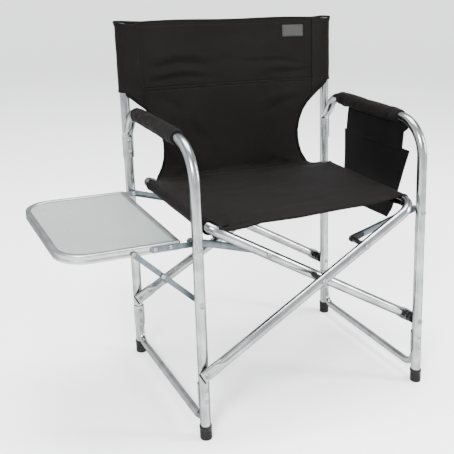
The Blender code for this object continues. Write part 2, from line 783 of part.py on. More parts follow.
def lower_pivot(side, leg, parts, materials):
    """Rivet and spacer that hold a crossed tube's end to a leg."""
    which = "b" if side == "left" else "a"
    x = SIDES[side] * HALF_WIDTH
    leg_y = LEG_Y[leg](PIVOT_Z)
    tube_y = CROSS_Y[which][leg][0]
    lowest = min(leg_y - TUBE_R, tube_y - FLAT_HALF)
    highest = max(leg_y + TUBE_R, tube_y + FLAT_HALF)
    head, tail = (lowest, highest) if leg == "front" else (highest, lowest)
    rivet = pin(f"{side}_{leg}_pivot_rivet", x, PIVOT_Z, head, tail, parts, materials["steel"])
    if tube_y < leg_y:
        faces = (tube_y + FLAT_HALF, leg_y - TUBE_R)
    else:
        faces = (leg_y + TUBE_R, tube_y - FLAT_HALF)
    ring = spacer(f"{side}_{leg}_pivot_spacer", x, PIVOT_Z, faces, parts, materials["plastic"])
    return rivet, ring


def centre_pivot(leg, parts, materials):
    """Rivet and spacer where the two crossed tubes meet."""
    tube_b = cross_point("b", leg, 0.0).y
    tube_a = cross_point("a", leg, 0.0).y
    ends = (tube_b - TUBE_R, tube_a + TUBE_R)
    head, tail = ends if leg == "front" else ends[::-1]
    rivet = pin(f"{leg}_centre_rivet", 0.0, CENTRE_Z, head, tail, parts, materials["steel"])
    faces = (tube_b + TUBE_R, tube_a - TUBE_R)
    ring = spacer(f"{leg}_centre_spacer", 0.0, CENTRE_Z, faces, parts, materials["plastic"])
    return rivet, ring


def link_fasteners(side, leg, parts, material):
    """Bolt through the leg and rivet through the crossed tube, at a link's two ends."""
    sign = SIDES[side]
    which = "a" if side == "left" else "b"
    leg_y = LEG_Y[leg](BOLT_Z)
    low = LINK_Y[side, leg]
    if leg == "front":
        bolt_ends = (leg_y - TUBE_R, low + LINK_WALL)
    else:
        inner = TABLE_Y[1] + GAP if side == "left" else low + LINK_DEPTH - LINK_WALL
        bolt_ends = (leg_y + TUBE_R, inner)
    bolt = pin(f"{side}_{leg}_link_bolt", sign * HALF_WIDTH, BOLT_Z, *bolt_ends, parts, material)
    tube_y = cross_point(which, leg, sign * LINK_X).y
    if link_in_front_of_tube(side, leg):
        ends = (tube_y + TUBE_R, low + LINK_DEPTH)
    else:
        ends = (tube_y - TUBE_R, low)
    rivet = pin_short_of(f"{side}_{leg}_link_rivet", sign * LINK_X, LINK_Z, *ends, parts, material)
    return bolt, rivet


def stay_fasteners(leg, parts, material):
    """Pivots of an elbow stay: at the leg, at the elbow and at the table."""
    leg_y = LEG_Y[leg](STAY_LEG[1])
    lower = STAY_Y[leg]["lower"]
    upper = STAY_Y[leg]["upper"]
    if leg == "front":
        leg_ends = (leg_y - TUBE_R, lower + STAY_H)
        table_ends = (upper, TABLE_Y[0] + RIM_WALL)
        elbow_ends = (lower, upper)
    else:
        leg_ends = (leg_y + TUBE_R, lower)
        table_ends = (TABLE_Y[1], upper)
        elbow_ends = (lower + STAY_H, upper + STAY_H)
    leg_pin = pin(f"{leg}_stay_leg_rivet", *STAY_LEG, *leg_ends, parts, material)
    elbow = pin_short_of(f"{leg}_stay_elbow_rivet", *STAY_ELBOW, *elbow_ends, parts, material)
    table_pin = pin(f"{leg}_stay_table_rivet", *STAY_TABLE, *table_ends, parts, material)
    return leg_pin, elbow, table_pin


# ------------------------------------------------------------------ assembly

def attach(objects, pivot):
    """Parent pieces to the empty on their joint's axis without moving them."""
    for obj in objects:
        obj.parent = pivot
        obj.matrix_parent_inverse = Matrix.Translation(-Vector(pivot.location))


def make_pivots(parts):
    """One empty for each rigid body, placed on the axis that it turns about."""
    origin = make_empty("camp_chair_origin", (SHIFT_X, SHIFT_Y, 0), None, parts)
    places = {
        "left_frame_pivot": (-HALF_WIDTH, 0, 0),
        "right_frame_pivot": (HALF_WIDTH, 0, PIVOT_Z),
        "cross_b_pivot": (-HALF_WIDTH, 0, PIVOT_Z),
        "cross_a_pivot": (0, 0, CENTRE_Z),
        "left_link_pivot": (-HALF_WIDTH, 0, BOLT_Z),
        "right_link_pivot": (HALF_WIDTH, 0, BOLT_Z),
        "table_pivot": (-HALF_WIDTH, 0, BOLT_Z),
        "lower_stay_pivot": (STAY_LEG[0], 0, STAY_LEG[1]),
        "upper_stay_pivot": (STAY_TABLE[0], 0, STAY_TABLE[1]),
        "pocket_pivot": (HALF_WIDTH, 0, ARM_Z),
    }
    pivots = {name: make_empty(name, place, origin, parts) for name, place in places.items()}
    pivots["origin"] = origin
    return pivots


def build_frames(parts, cutters, materials, pivots):
    metal = materials["aluminium"]
    for side in SIDES:
        pieces = [side_frame_tube(side, parts, cutters, metal)]
        pieces.append(rear_post(side, parts, cutters, metal))
        pieces.append(lower_brace(side, parts, cutters, metal))
        pieces.append(arm_pad(side, parts, materials["fabric"]))
        for leg in LEG_Y:
            pieces.append(foot(side, leg, parts, materials["rubber"]))
            pieces += lower_pivot(side, leg, parts, materials)
        attach(pieces, pivots[f"{side}_frame_pivot"])


def build_cross(parts, cutters, materials, pivots):
    for which in ("a", "b"):
        obj = cross_tube(which, parts, cutters, materials["aluminium"])
        attach([obj], pivots[f"cross_{which}_pivot"])
    for leg in LEG_Y:
        attach(centre_pivot(leg, parts, materials), pivots["cross_b_pivot"])


def build_links(parts, cutters, materials, pivots):
    for side in SIDES:
        tube_pivot = pivots["cross_a_pivot" if side == "left" else "cross_b_pivot"]
        for leg in LEG_Y:
            attach(link(side, leg, parts, cutters, materials), pivots[f"{side}_link_pivot"])
            bolt, rivet = link_fasteners(side, leg, parts, materials["steel"])
            attach([bolt], pivots[f"{side}_frame_pivot"])
            attach([rivet], tube_pivot)


def build_table(parts, cutters, materials, pivots):
    pieces = [table_rim(parts, cutters, materials["aluminium"]), table_panel(parts, materials["panel"])]
    for leg in LEG_Y:
        pieces.append(table_bracket(leg, parts, cutters, materials["steel"]))
        lower = stay_bar(leg, "lower", parts, cutters, materials["steel"])
        upper = stay_bar(leg, "upper", parts, cutters, materials["steel"])
        leg_pin, elbow, table_pin = stay_fasteners(leg, parts, materials["steel"])
        attach([lower, elbow], pivots["lower_stay_pivot"])
        attach([upper], pivots["upper_stay_pivot"])
        attach([leg_pin], pivots["left_frame_pivot"])
        pieces.append(table_pin)
    attach(pieces, pivots["table_pivot"])


def build_fabric(parts, cutters, materials, pivots):
    cloth = materials["fabric"]
    attach([seat_sling(parts, cutters, cloth)], pivots["cross_b_pivot"])
    attach([back_sling(parts, cutters, cloth)], pivots["left_frame_pivot"])
    attach([side_pocket(parts, cutters, cloth)], pivots["pocket_pivot"])


def main():
    clear_scene()
    parts = make_collection("folding_camp_chair")
    cutters = make_collection("cutters")
    materials = make_materials()
    pivots = make_pivots(parts)
    bpy.context.view_layer.update()
    build_frames(parts, cutters, materials, pivots)
    build_cross(parts, cutters, materials, pivots)
    build_links(parts, cutters, materials, pivots)
    build_table(parts, cutters, materials, pivots)
    build_fabric(parts, cutters, materials, pivots)
    for cutter in cutters.objects:
        cutter.parent = pivots["origin"]


main()
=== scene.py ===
"""Looks for a folding camp chair with a drop-leaf side table and a hanging pocket.

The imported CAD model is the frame. Each tube, pressing, rivet and cloth is built here as a
finer piece in its CAD part's place. Points are in metres and chair-centred: x = 0 is midway
between the side frames and y = 0 midway between the feet; ORIGIN puts them in the row frame.
"""

import json
import math

import bmesh
import bpy
from mathutils import Matrix, Vector, noise
from mathutils.bvhtree import BVHTree


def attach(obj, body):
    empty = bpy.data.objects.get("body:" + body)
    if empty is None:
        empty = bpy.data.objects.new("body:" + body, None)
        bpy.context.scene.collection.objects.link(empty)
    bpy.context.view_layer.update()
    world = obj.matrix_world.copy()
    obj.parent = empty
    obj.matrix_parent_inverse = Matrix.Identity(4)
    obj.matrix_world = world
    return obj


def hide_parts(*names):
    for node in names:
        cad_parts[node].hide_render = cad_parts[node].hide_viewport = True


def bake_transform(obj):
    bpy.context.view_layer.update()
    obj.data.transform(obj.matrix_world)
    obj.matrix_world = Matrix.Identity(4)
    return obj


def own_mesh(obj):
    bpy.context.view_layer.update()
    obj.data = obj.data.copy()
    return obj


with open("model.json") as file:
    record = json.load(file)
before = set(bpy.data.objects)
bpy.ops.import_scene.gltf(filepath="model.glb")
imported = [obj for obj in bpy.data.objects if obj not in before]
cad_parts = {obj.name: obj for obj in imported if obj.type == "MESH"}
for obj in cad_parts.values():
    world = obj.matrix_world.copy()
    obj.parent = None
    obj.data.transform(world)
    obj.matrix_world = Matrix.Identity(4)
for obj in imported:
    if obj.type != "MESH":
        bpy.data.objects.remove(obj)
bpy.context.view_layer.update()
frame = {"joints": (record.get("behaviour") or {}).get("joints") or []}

# ------------------------------------------------------- sizes shared with the CAD parts

HALF_WIDTH = 0.272
PIVOT_Z = 0.151
CENTRE_Z = 0.303
BOLT_Z = 0.410
RAIL_X = 0.237
FRONT_LEAN = 0.107
REAR_LEAN = 0.1055
TUBE_R = 0.011
ARM_Z = 0.606
PAD_Y = (-0.057, 0.188)
LINK_Z = CENTRE_Z + 0.0598
LINK_X = 0.10694
SLOPE = (CENTRE_Z - PIVOT_Z) / HALF_WIDTH
OPEN_ANGLE = math.atan(SLOPE)
RAIL_Z = CENTRE_Z + SLOPE * RAIL_X
CROSS_Y = {
    "a": {"front": (-0.1603, -0.1299), "rear": (0.2424, 0.2460)},
    "b": {"front": (-0.2038, -0.1734), "rear": (0.1950, 0.2115)},
}
LINK_Y = {
    ("left", "front"): -0.1240,
    ("right", "front"): -0.1385,
    ("left", "rear"): 0.2240,
    ("right", "rear"): 0.2240,
}
LINK_DEPTH = 0.007
TABLE_X = (-0.537, -0.2975)
TABLE_Y = (-0.136, 0.220)
TABLE_TOP = 0.420
RIM_H = 0.0175
STAY_LEG = (-HALF_WIDTH, 0.293)
STAY_TABLE = (-0.3965, 0.4080)
STAY_ELBOW = tuple(a + (b - a) * 0.53 for a, b in zip(STAY_LEG, STAY_TABLE))
STAY_Y = {"front": {"lower": -0.1430, "upper": -0.1397}, "rear": {"lower": 0.2125, "upper": 0.2094}}
STAY_H = 0.0025

SIDES = {"left": -1, "right": 1}
AXIS_X = Vector((1, 0, 0))
AXIS_Y = Vector((0, 1, 0))
AXIS_Z = Vector((0, 0, 1))

FOLD_JOINT = next(joint for joint in frame["joints"] if joint["name"] == "fold")
ORIGIN = Vector(FOLD_JOINT["pos_m"]) - Vector((-HALF_WIDTH, 0, PIVOT_Z))


def front_y(z):
    return -0.200 + FRONT_LEAN * z


def rear_y(z):
    return 0.200 + REAR_LEAN * z


LEG_Y = {"front": front_y, "rear": rear_y}
LEAN = {"front": FRONT_LEAN, "rear": REAR_LEAN}


# ------------------------------------------------------------------------------ camera

def make_camera():
    turn = math.radians(-25.8819)
    pitch = math.radians(20.0974)
    roll = math.radians(0.7594)
    back = Vector(
        (math.sin(turn) * math.cos(pitch), -math.cos(turn) * math.cos(pitch), math.sin(pitch))
    )
    right = Vector((math.cos(turn), math.sin(turn), 0))
    up = back.cross(right)
    right, up = (
        right * math.cos(roll) + up * math.sin(roll),
        up * math.cos(roll) - right * math.sin(roll),
    )
    data = bpy.data.cameras.new("camera")
    data.sensor_width = 36
    data.lens = 59.82
    camera = bpy.data.objects.new("camera", data)
    bpy.context.scene.collection.objects.link(camera)
    turned = Matrix((right, up, back)).transposed().to_4x4()
    camera.matrix_world = Matrix.Translation(ORIGIN + Vector((-0.8162, -1.4075, 0.9518))) @ turned
    bpy.context.scene.camera = camera


make_camera()


# --------------------------------------------------------------------------- materials

def add(tree, kind, inputs, **settings):
    """A shader node; an input's value is a number, a colour or another node's output."""
    made = tree.nodes.new(kind)
    for name, value in settings.items():
        setattr(made, name, value)
    for name, value in inputs.items():
        if isinstance(value, bpy.types.NodeSocket):
            tree.links.new(value, made.inputs[name])
        else:
            made.inputs[name].default_value = value
    return made


def new_material(name, metallic=0.0, **sockets):
    """A Principled material and its tree; sockets are set by name, with spaces as underscores."""
    material = bpy.data.materials.new(name)
    material.use_nodes = True
    shader = material.node_tree.nodes["Principled BSDF"]
    shader.inputs["Metallic"].default_value = metallic
    for socket, value in sockets.items():
        shader.inputs[socket.replace("_", " ")].default_value = value
    return material, material.node_tree, shader


def scaled(tree, source, scale):
    """Texture coordinates stretched by a scale; source is UV, in metres, or Object."""
    place = add(tree, "ShaderNodeTexCoord", {})
    return add(tree, "ShaderNodeMapping", {"Vector": place.outputs[source], "Scale": scale}).outputs[0]


def noise_of(tree, vector, scale, detail=3.0):
    inputs = {"Vector": vector, "Scale": scale, "Detail": detail, "Roughness": 0.55}
    return add(tree, "ShaderNodeTexNoise", inputs).outputs["Fac"]


def mapped(tree, value, low, high, from_low=0.3, from_high=0.7):
    inputs = {"Value": value, "From Min": from_low, "From Max": from_high, "To Min": low, "To Max": high}
    return add(tree, "ShaderNodeMapRange", inputs).outputs[0]


def mixed(tree, factor, first, second):
    made = tree.nodes.new("ShaderNodeMix")
    made.data_type = "RGBA"
    tree.links.new(factor, made.inputs[0])
    made.inputs[6].default_value = (*first, 1)
    made.inputs[7].default_value = (*second, 1)
    return made.outputs[2]


def coloured(tree, shader, factor, base, shade):
    """Base colour that goes from base to shade as the factor goes from 0 to 1."""
    tree.links.new(mixed(tree, factor, base, shade), shader.inputs["Base Color"])


def roughened(tree, shader, value, *limits):
    tree.links.new(mapped(tree, value, *limits), shader.inputs["Roughness"])


def bump(tree, shader, height, strength, distance, below=None):
    inputs = {"Height": height, "Strength": strength, "Distance": distance}
    if below:
        inputs["Normal"] = below
    made = add(tree, "ShaderNodeBump", inputs)
    tree.links.new(made.outputs[0], shader.inputs["Normal"])
    return made.outputs[0]


def drawn_aluminium(name, base, shade, rough, stretch=(1400, 14, 1)):
    """Satin drawn metal: fine streaks along its length, soft handling marks, and broad lengthwise light and
    dark bands of painted reflection in its colour.
    """
    material, tree, shader = new_material(name, metallic=1.0, Specular_Tint=(0.12, 0.125, 0.13, 1))
    streak = noise_of(tree, scaled(tree, "UV", stretch), 1.0, 4.0)
    # painted reflection: broad light and dark bands along the tube's length stand in for reflected
    # surroundings
    painted_reflection_bands = noise_of(tree, scaled(tree, "UV", [size * 0.14 for size in stretch]), 1.0, 2.0)
    marks = noise_of(tree, scaled(tree, "Object", (1, 1, 1)), 26.0, 4.0)
    marks_and_painted_reflection = add(tree, "ShaderNodeMath", {0: painted_reflection_bands, 1: marks}, operation="MULTIPLY").outputs[0]
    # base colour mixes the real handling marks with the painted reflection bands
    coloured(tree, shader, mapped(tree, marks_and_painted_reflection, 0, 1, 0.14, 0.36), base, shade)
    roughened(tree, shader, streak, *rough)
    bump(tree, shader, streak, 0.10, 0.0002)
    return material


def zinc_steel(name, base, shade):
    """Dull zinc plate: a faint crystalline patchwork and slight pitting."""
    material, tree, shader = new_material(name, metallic=1.0, Specular_Tint=(0.35, 0.36, 0.38, 1))
    place = scaled(tree, "Object", (1, 1, 1))
    cells = add(tree, "ShaderNodeTexVoronoi", {"Vector": place, "Scale": 420.0}).outputs["Distance"]
    patches = noise_of(tree, place, 70.0, 5.0)
    coloured(tree, shader, mapped(tree, patches, 0, 1), base, shade)
    roughened(tree, shader, cells, 0.30, 0.48, 0.0, 0.8)
    bump(tree, shader, patches, 0.15, 0.0003)
    return material


def moulded(name, base, shade, roughness, grain):
    """Moulded plastic or rubber with a fine grain and worn patches."""
    material, tree, shader = new_material(name, Specular_IOR_Level=0.16)
    place = scaled(tree, "Object", (1, 1, 1))
    wear = noise_of(tree, place, 60.0, 4.0)
    fine = noise_of(tree, place, grain, 2.0)
    coloured(tree, shader, mapped(tree, wear, 0, 1), base, shade)
    roughened(tree, shader, wear, roughness - 0.08, roughness + 0.08)
    bump(tree, shader, fine, 0.25, 0.0003)
    return material


def woven(name, base, shade, pitch, sheen, roughness=0.78):
    """Plain-woven coated polyester: a warp and weft bump that follows the cloth."""
    material, tree, shader = new_material(
        name, Sheen_Weight=sheen, Sheen_Roughness=0.42, Sheen_Tint=(0.82, 0.80, 0.78, 1),
        Specular_IOR_Level=0.05,
    )
    cloth = scaled(tree, "UV", (1, 1, 1))
    threads = []
    for direction in ("X", "Y"):
        inputs = {"Vector": cloth, "Scale": 0.31416 / pitch, "Distortion": 0.6, "Detail": 1.0}
        wave = add(tree, "ShaderNodeTexWave", inputs, bands_direction=direction)
        threads.append(wave.outputs["Fac"])
    weave = add(tree, "ShaderNodeMath", {0: threads[0], 1: threads[1]}, operation="MULTIPLY").outputs[0]
    place = scaled(tree, "Object", (1, 1, 1))
    fade = noise_of(tree, place, 9.0, 5.0)
    slub = noise_of(tree, scaled(tree, "UV", (60, 900, 1)), 1.0, 3.0)
    coloured(tree, shader, mapped(tree, fade, 0, 1), base, shade)
    roughened(tree, shader, slub, roughness - 0.07, roughness + 0.07)
    soft = bump(tree, shader, fade, 0.20, 0.006)
    bump(tree, shader, weave, 0.55, 0.00035, soft)
    return material


def speckled_panel(name):
    """Coated board with a fine light speckle and a faint orange peel."""
    material, tree, shader = new_material(
        name, Specular_IOR_Level=0.55, Coat_Weight=0.25, Coat_Roughness=0.22,
    )
    place = scaled(tree, "Object", (1, 1, 1))
    speck = noise_of(tree, place, 1500.0, 2.0)
    peel = noise_of(tree, place, 160.0, 3.0)
    cloudy = noise_of(tree, place, 7.0, 3.0)
    dark = (0.136, 0.157, 0.148)
    light = (0.196, 0.218, 0.209)
    coloured(tree, shader, mapped(tree, speck, 0, 1, 0.42, 0.62), dark, light)
    roughened(tree, shader, cloudy, 0.26, 0.38)
    bump(tree, shader, peel, 0.06, 0.0004)
    return material


ALUMINIUM = drawn_aluminium("aluminium_tube", (0.36, 0.365, 0.362), (0.19, 0.195, 0.197), (0.15, 0.29))
RIM_METAL = drawn_aluminium(
    "aluminium_rim", (0.42, 0.425, 0.42), (0.27, 0.276, 0.275), (0.30, 0.42), (14, 1400, 1)
)
ZINC = zinc_steel("zinc_pressing", (0.120, 0.140, 0.150), (0.066, 0.080, 0.090))
RIVET = zinc_steel("rivet_metal", (0.30, 0.305, 0.305), (0.15, 0.155, 0.16))
PLASTIC = moulded("black_moulding", (0.0035, 0.0035, 0.0038), (0.0065, 0.0065, 0.0068), 0.40, 900.0)
RUBBER = moulded("black_foot_rubber", (0.0035, 0.0035, 0.0035), (0.0070, 0.0068, 0.0066), 0.58, 500.0)
CLOTH = woven("black_sling_cloth", (0.0034, 0.0030, 0.0028), (0.0050, 0.0044, 0.0041), 0.0011, 0.008)
POCKET_CLOTH = woven(
    "black_pocket_cloth", (0.0016, 0.0015, 0.0015), (0.0026, 0.0025, 0.0024), 0.0009, 0.004, 0.75
)
BINDING = woven("black_binding_tape", (0.0012, 0.0011, 0.0011), (0.0022, 0.0021, 0.0020), 0.0018, 0.006, 0.70)
THREAD = woven("black_thread", (0.0070, 0.0064, 0.0060), (0.0120, 0.0110, 0.0104), 0.0006, 0.05, 0.60)
PATCH = woven("grey_patch", (0.030, 0.030, 0.030), (0.042, 0.042, 0.041), 0.0008, 0.02, 0.60)
PANEL = speckled_panel("grey_speckled_panel")


# ------------------------------------------------------------------------- mesh helpers

def piece(name, shape, material, body=None, replaces=(), sharp=40.0, solid=True):
    """A mesh object from (points, faces, uvs), put in the row frame and on its body."""
    points, faces, uvs = shape
    mesh = bpy.data.meshes.new(name)
    mesh.from_pydata([tuple(Vector(p) + ORIGIN) for p in points], [], faces)
    layer = mesh.uv_layers.new(name="cloth_metres")
    for polygon, corners in zip(mesh.polygons, uvs):
        for loop, uv in zip(polygon.loop_indices, corners):
            layer.data[loop].uv = uv
    if solid:
        bm = bmesh.new()
        bm.from_mesh(mesh)
        bmesh.ops.recalc_face_normals(bm, faces=bm.faces)
        bm.to_mesh(mesh)
        bm.free()
    mesh.materials.append(material)
    mesh.shade_smooth()
    mesh.set_sharp_from_angle(angle=math.radians(sharp))
    obj = bpy.data.objects.new(name, mesh)
    bpy.context.scene.collection.objects.link(obj)
    if body:
        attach(obj, body)
    if replaces:
        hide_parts(*replaces)
    return obj


def loft(rings, wrap=False, ring_open=False, caps=True):
    """Skin over rings of equal length. UVs are metres round each ring and along the rings."""
    count = len(rings[0])
    points = [tuple(p) for ring in rings for p in ring]
    around = [0.0]
    widest = [Vector(p) for p in rings[len(rings) // 2]]
    for k in range(count):
        around.append(around[-1] + (widest[(k + 1) % count] - widest[k]).length)
    along = [0.0]
    middles = [sum((Vector(p) for p in ring), Vector()) / count for ring in rings]
    for before, after in zip(middles, middles[1:] + middles[:1]):
        along.append(along[-1] + max((after - before).length, 0.0002))
    faces = []
    uvs = []
    last = len(rings) if wrap else len(rings) - 1
    for a in range(last):
        b = (a + 1) % len(rings)
        for k in range(count - 1 if ring_open else count):
            m = (k + 1) % count
            faces.append((a * count + k, a * count + m, b * count + m, b * count + k))
            u0, u1, v0, v1 = around[k], around[k + 1], along[a], along[a + 1]
            uvs.append(((u0, v0), (u1, v0), (u1, v1), (u0, v1)))
    if caps and not wrap and not ring_open:
        for start in (0, (len(rings) - 1) * count):
            faces.append(tuple(range(start, start + count)))
            uvs.append([(around[k], along[-1]) for k in range(count)])
    return points, faces, uvs


def joined(*shapes):
    """Several (points, faces, uvs) as one."""
    points = []
    faces = []
    uvs = []
    for part_points, part_faces, part_uvs in shapes:
        base = len(points)
        points += part_points
        faces += [tuple(base + k for k in face) for face in part_faces]
        uvs += part_uvs
    return points, faces, uvs


def rounded_path(corners, radii, steps=14):
    """A polyline through corners, each inner one rounded by an arc."""
    corners = [Vector(corner) for corner in corners]
    path = [corners[0]]
    for before, corner, after, radius in zip(corners, corners[1:], corners[2:], radii):
        into = (corner - before).normalized()
        out = (after - corner).normalized()
        turn = into.angle(out)
        centre = corner + (out - into).normalized() * (radius / math.cos(turn / 2))
        start = corner - into * radius * math.tan(turn / 2) - centre
        axis = into.cross(out).normalized()
        path += [centre + Matrix.Rotation(turn * k / steps, 3, axis) @ start for k in range(steps + 1)]
    path.append(corners[-1])
    return path


def dense(path, step=0.02):
    """The same polyline with a point at least every step."""
    out = [path[0]]
    for a, b in zip(path, path[1:]):
        parts = max(1, math.ceil((b - a).length / step))
        out += [a.lerp(b, k / parts) for k in range(1, parts + 1)]
    return out


def frames(path, ref):
    """(point, side, up) at each point of a path, the side as near to ref as it can be."""
    out = []
    for index, point in enumerate(path):
        tangent = path[min(index + 1, len(path) - 1)] - path[max(index - 1, 0)]
        tangent.normalize()
        side = (ref - tangent * ref.dot(tangent)).normalized()
        out.append((point, side, tangent.cross(side)))
    return out


def evenly(low, high, parts):
    """Numbers from low to high in equal steps."""
    return [low + (high - low) * k / parts for k in range(parts + 1)]


def oval_section(across, upward, sides=12):
    turns = [math.tau * k / sides for k in range(sides)]
    return [(across * math.cos(t), upward * math.sin(t)) for t in turns]


def round_section(radius, sides=28):
    return oval_section(radius, radius, sides)


def sweep(path, ref, section):
    """Rings along a path. section is a list of (side, up) offsets, or a function of the index."""
    rings = []
    for index, (point, side, up) in enumerate(frames(path, ref)):
        outline = section(index) if callable(section) else section
        rings.append([point + side * u + up * v for u, v in outline])
    return rings


def edging(name, path, ref, section, material):
    """A hem or a binding: one section carried along a path."""
    return piece(name, loft(sweep(path, ref, section)), material, sharp=80)


def blended(first, second, share):
    share = share * share * (3 - 2 * share)
    return [Vector(a).lerp(Vector(b), share) for a, b in zip(first, second)]


def lathe(profile, place, axis=AXIS_Z, sides=28):
    """A turned solid: (radius, height) pairs about an axis through place."""
    side = AXIS_X if abs(axis.x) < 0.9 else AXIS_Y
    other = axis.cross(side)
    rings = []
    for radius, height in profile:
        radius = max(radius, 0.00002)
        centre = Vector(place) + axis * height
        rings.append([centre + side * u + other * v for u, v in round_section(radius, sides)])
    return loft(rings)


def stadium(start, end, half, steps=10):
    """Outline of a bar with round ends from (x, z) to (x, z)."""
    start = Vector(start)
    end = Vector(end)
    heading = math.atan2(end.y - start.y, end.x - start.x)
    points = []
    for centre, base in ((end, heading - math.pi / 2), (start, heading + math.pi / 2)):
        for step in range(steps + 1):
            angle = base + math.pi * step / steps
            points.append(centre + Vector((math.cos(angle), math.sin(angle))) * half)
    return points


def raised(outline, y):
    return [Vector((p.x, y, p.y)) for p in outline]


def bar(start, end, half, y_range, edge=0.0004):
    """A flat bar in the XZ plane with softened edges."""
    low, high = y_range
    levels = [(edge, low), (0.0, low + edge), (0.0, high - edge), (edge, high)]
    return loft([raised(stadium(start, end, half - inset), y) for inset, y in levels])


def interpolate(table, x):
    """Value at x on a polyline of (x, value) pairs, sorted by x."""
    if x <= table[0][0]:
        return table[0][1]
    for (x0, y0), (x1, y1) in zip(table, table[1:]):
        if x <= x1:
            return y0 + (y1 - y0) * (x - x0) / (x1 - x0)
    return table[-1][1]


def smooth(x):
    x = max(0.0, min(1.0, x))
    return x * x * (3 - 2 * x)


# -------------------------------------------------------------------------- side frames

TUBE_LOW_Z = 0.0075
POST_TOP_Z = 0.7925
ARM_SADDLE_Z = (0.5400, 0.4930)
ARM_RIVETS_Z = (0.534, 0.507)
BRACE_SADDLE_Z = (0.0780, 0.1240)
BRACE_RIVETS_Z = (0.112, 0.087)


def saddle_ring(x, leg, z, facing, sides=28):
    """Crescent round the front (facing -1) or rear (facing 1) of a leg at height z."""
    ring = []
    for k in range(sides):
        outer = k < sides // 2
        step = k if outer else sides - 1 - k
        angle = math.pi * (step + 0.5) / (sides // 2)
        reach = TUBE_R + (0.0026 if outer else 0.0004)
        across = reach * math.cos(angle)
        ring.append(Vector((x + across, LEG_Y[leg](z) + reach * math.sin(angle) * facing, z)))
    return ring


def tube_ring(point, side, up, radius, sides=28):
    """Circle whose points are numbered as a saddle ring's are, its outer half towards up."""
    turns = [math.tau * (k + 0.5) / sides for k in range(sides)]
    return [point + side * (radius * math.cos(t)) + up * (radius * math.sin(t)) for t in turns]


def pressed_onto_leg(rings, heading, x, leg, z_range, facing, steps=6):
    """Rings that carry a tube's last ring on into a half pipe riveted round a leg."""
    near, far = z_range
    last = rings[-1]
    shift = abs((near - last[0].z) / max(abs(heading.z), 0.2))
    made = []
    for step in range(1, steps):
        share = step / steps
        source = [p + heading * shift * share for p in last]
        target = saddle_ring(x, leg, last[0].z + (near - last[0].z) * (0.35 + 0.65 * share), facing)
        made.append(blended(source, target, share))
    for step in range(8):
        made.append(saddle_ring(x, leg, near + (far - near) * step / 7, facing))
    return made


def frame_tube(side):
    """Front leg, armrest and rear drop in one bent tube, pressed onto the rear post."""
    x = SIDES[side] * HALF_WIDTH
    corners = [
        (x, front_y(TUBE_LOW_Z), TUBE_LOW_Z),
        (x, front_y(ARM_Z), ARM_Z),
        (x, 0.214, ARM_Z),
        (x, 0.2350, 0.5702),
    ]
    path = dense(rounded_path(corners, [0.085, 0.045]))
    rings = [tube_ring(point, across, up, TUBE_R) for point, across, up in frames(path, AXIS_X)]
    heading = (path[-1] - path[-2]).normalized()
    rings += pressed_onto_leg(rings, heading, x, "rear", ARM_SADDLE_Z, -1, 12)
    piece(f"{side}_bent_tube", loft(rings), ALUMINIUM, f"frame_{side}", [f"{side}_frame_tube"])


def post(side):
    """Rear post, its top closed by a black plug inside the sleeve."""
    x = SIDES[side] * HALF_WIDTH
    path = [Vector((x, rear_y(z), z)) for z in (TUBE_LOW_Z, 0.2, 0.4, 0.6, POST_TOP_Z)]
    tube = loft(sweep(path, AXIS_X, round_section(TUBE_R)))
    piece(f"{side}_post", tube, ALUMINIUM, f"frame_{side}", [f"{side}_rear_post"])
    profile = [(0.0, -0.0080), (0.0098, -0.0080), (0.0098, -0.0002), (0.0112, 0.0), (0.0114, 0.0012)]
    profile += [(0.0106, 0.0024), (0.0070, 0.0031), (0.0, 0.0033)]
    plug = lathe(profile, path[-1], AXIS_Z, 28)
    piece(f"{side}_post_plug", plug, PLASTIC, f"frame_{side}")


def brace(side):
    """16 mm U tube above the feet, its ends pressed onto both legs and riveted."""
    x = SIDES[side] * HALF_WIDTH
    low = 0.034
    top = 0.062
    corners = [
        (x, front_y(top) + 0.0088, top),
        (x, front_y(low) + 0.016, low),
        (x, rear_y(low) - 0.016, low),
        (x, rear_y(top) - 0.0088, top),
    ]
    path = dense(rounded_path(corners, [0.030, 0.030], steps=10))
    half = len(path) // 2
    shapes = []
    for leg, facing, arm in (("front", 1, path[half::-1]), ("rear", -1, path[half:])):
        turned = frames(arm, AXIS_X)
        outward = 1 if turned[-1][2].y * facing > 0 else -1
        rings = [tube_ring(point, across, up * outward, 0.008) for point, across, up in turned]
        heading = (arm[-1] - arm[-2]).normalized()
        shapes.append(loft(rings + pressed_onto_leg(rings, heading, x, leg, BRACE_SADDLE_Z, facing)))
    piece(f"{side}_brace", joined(*shapes), ALUMINIUM, f"frame_{side}", [f"{side}_lower_brace"])


def foot(side, leg):
    """Ribbed rubber cap with a thick collar, leaning with its leg."""
    x = SIDES[side] * HALF_WIDTH
    profile = [(0.0, 0.0), (0.0108, 0.0), (0.0122, 0.0006), (0.0128, 0.0022)]
    for step in range(5):
        base = 0.0055 + 0.0035 * step
        profile += [(0.0128, base), (0.0123, base + 0.0006), (0.0123, base + 0.0014), (0.0128, base + 0.0020)]
    profile += [(0.0129, 0.0245), (0.0133, 0.0252), (0.0133, 0.0288), (0.0128, 0.0300), (0.0113, 0.0300)]
    profile += [(0.0113, 0.0280)]
    points, faces, uvs = lathe(profile, (x, LEG_Y[leg](0), 0), AXIS_Z, 32)
    points = [(p[0], p[1] + LEAN[leg] * p[2], p[2]) for p in points]
    piece(f"{side}_{leg}_cap", (points, faces, uvs), RUBBER, f"frame_{side}", [f"{side}_{leg}_foot"])


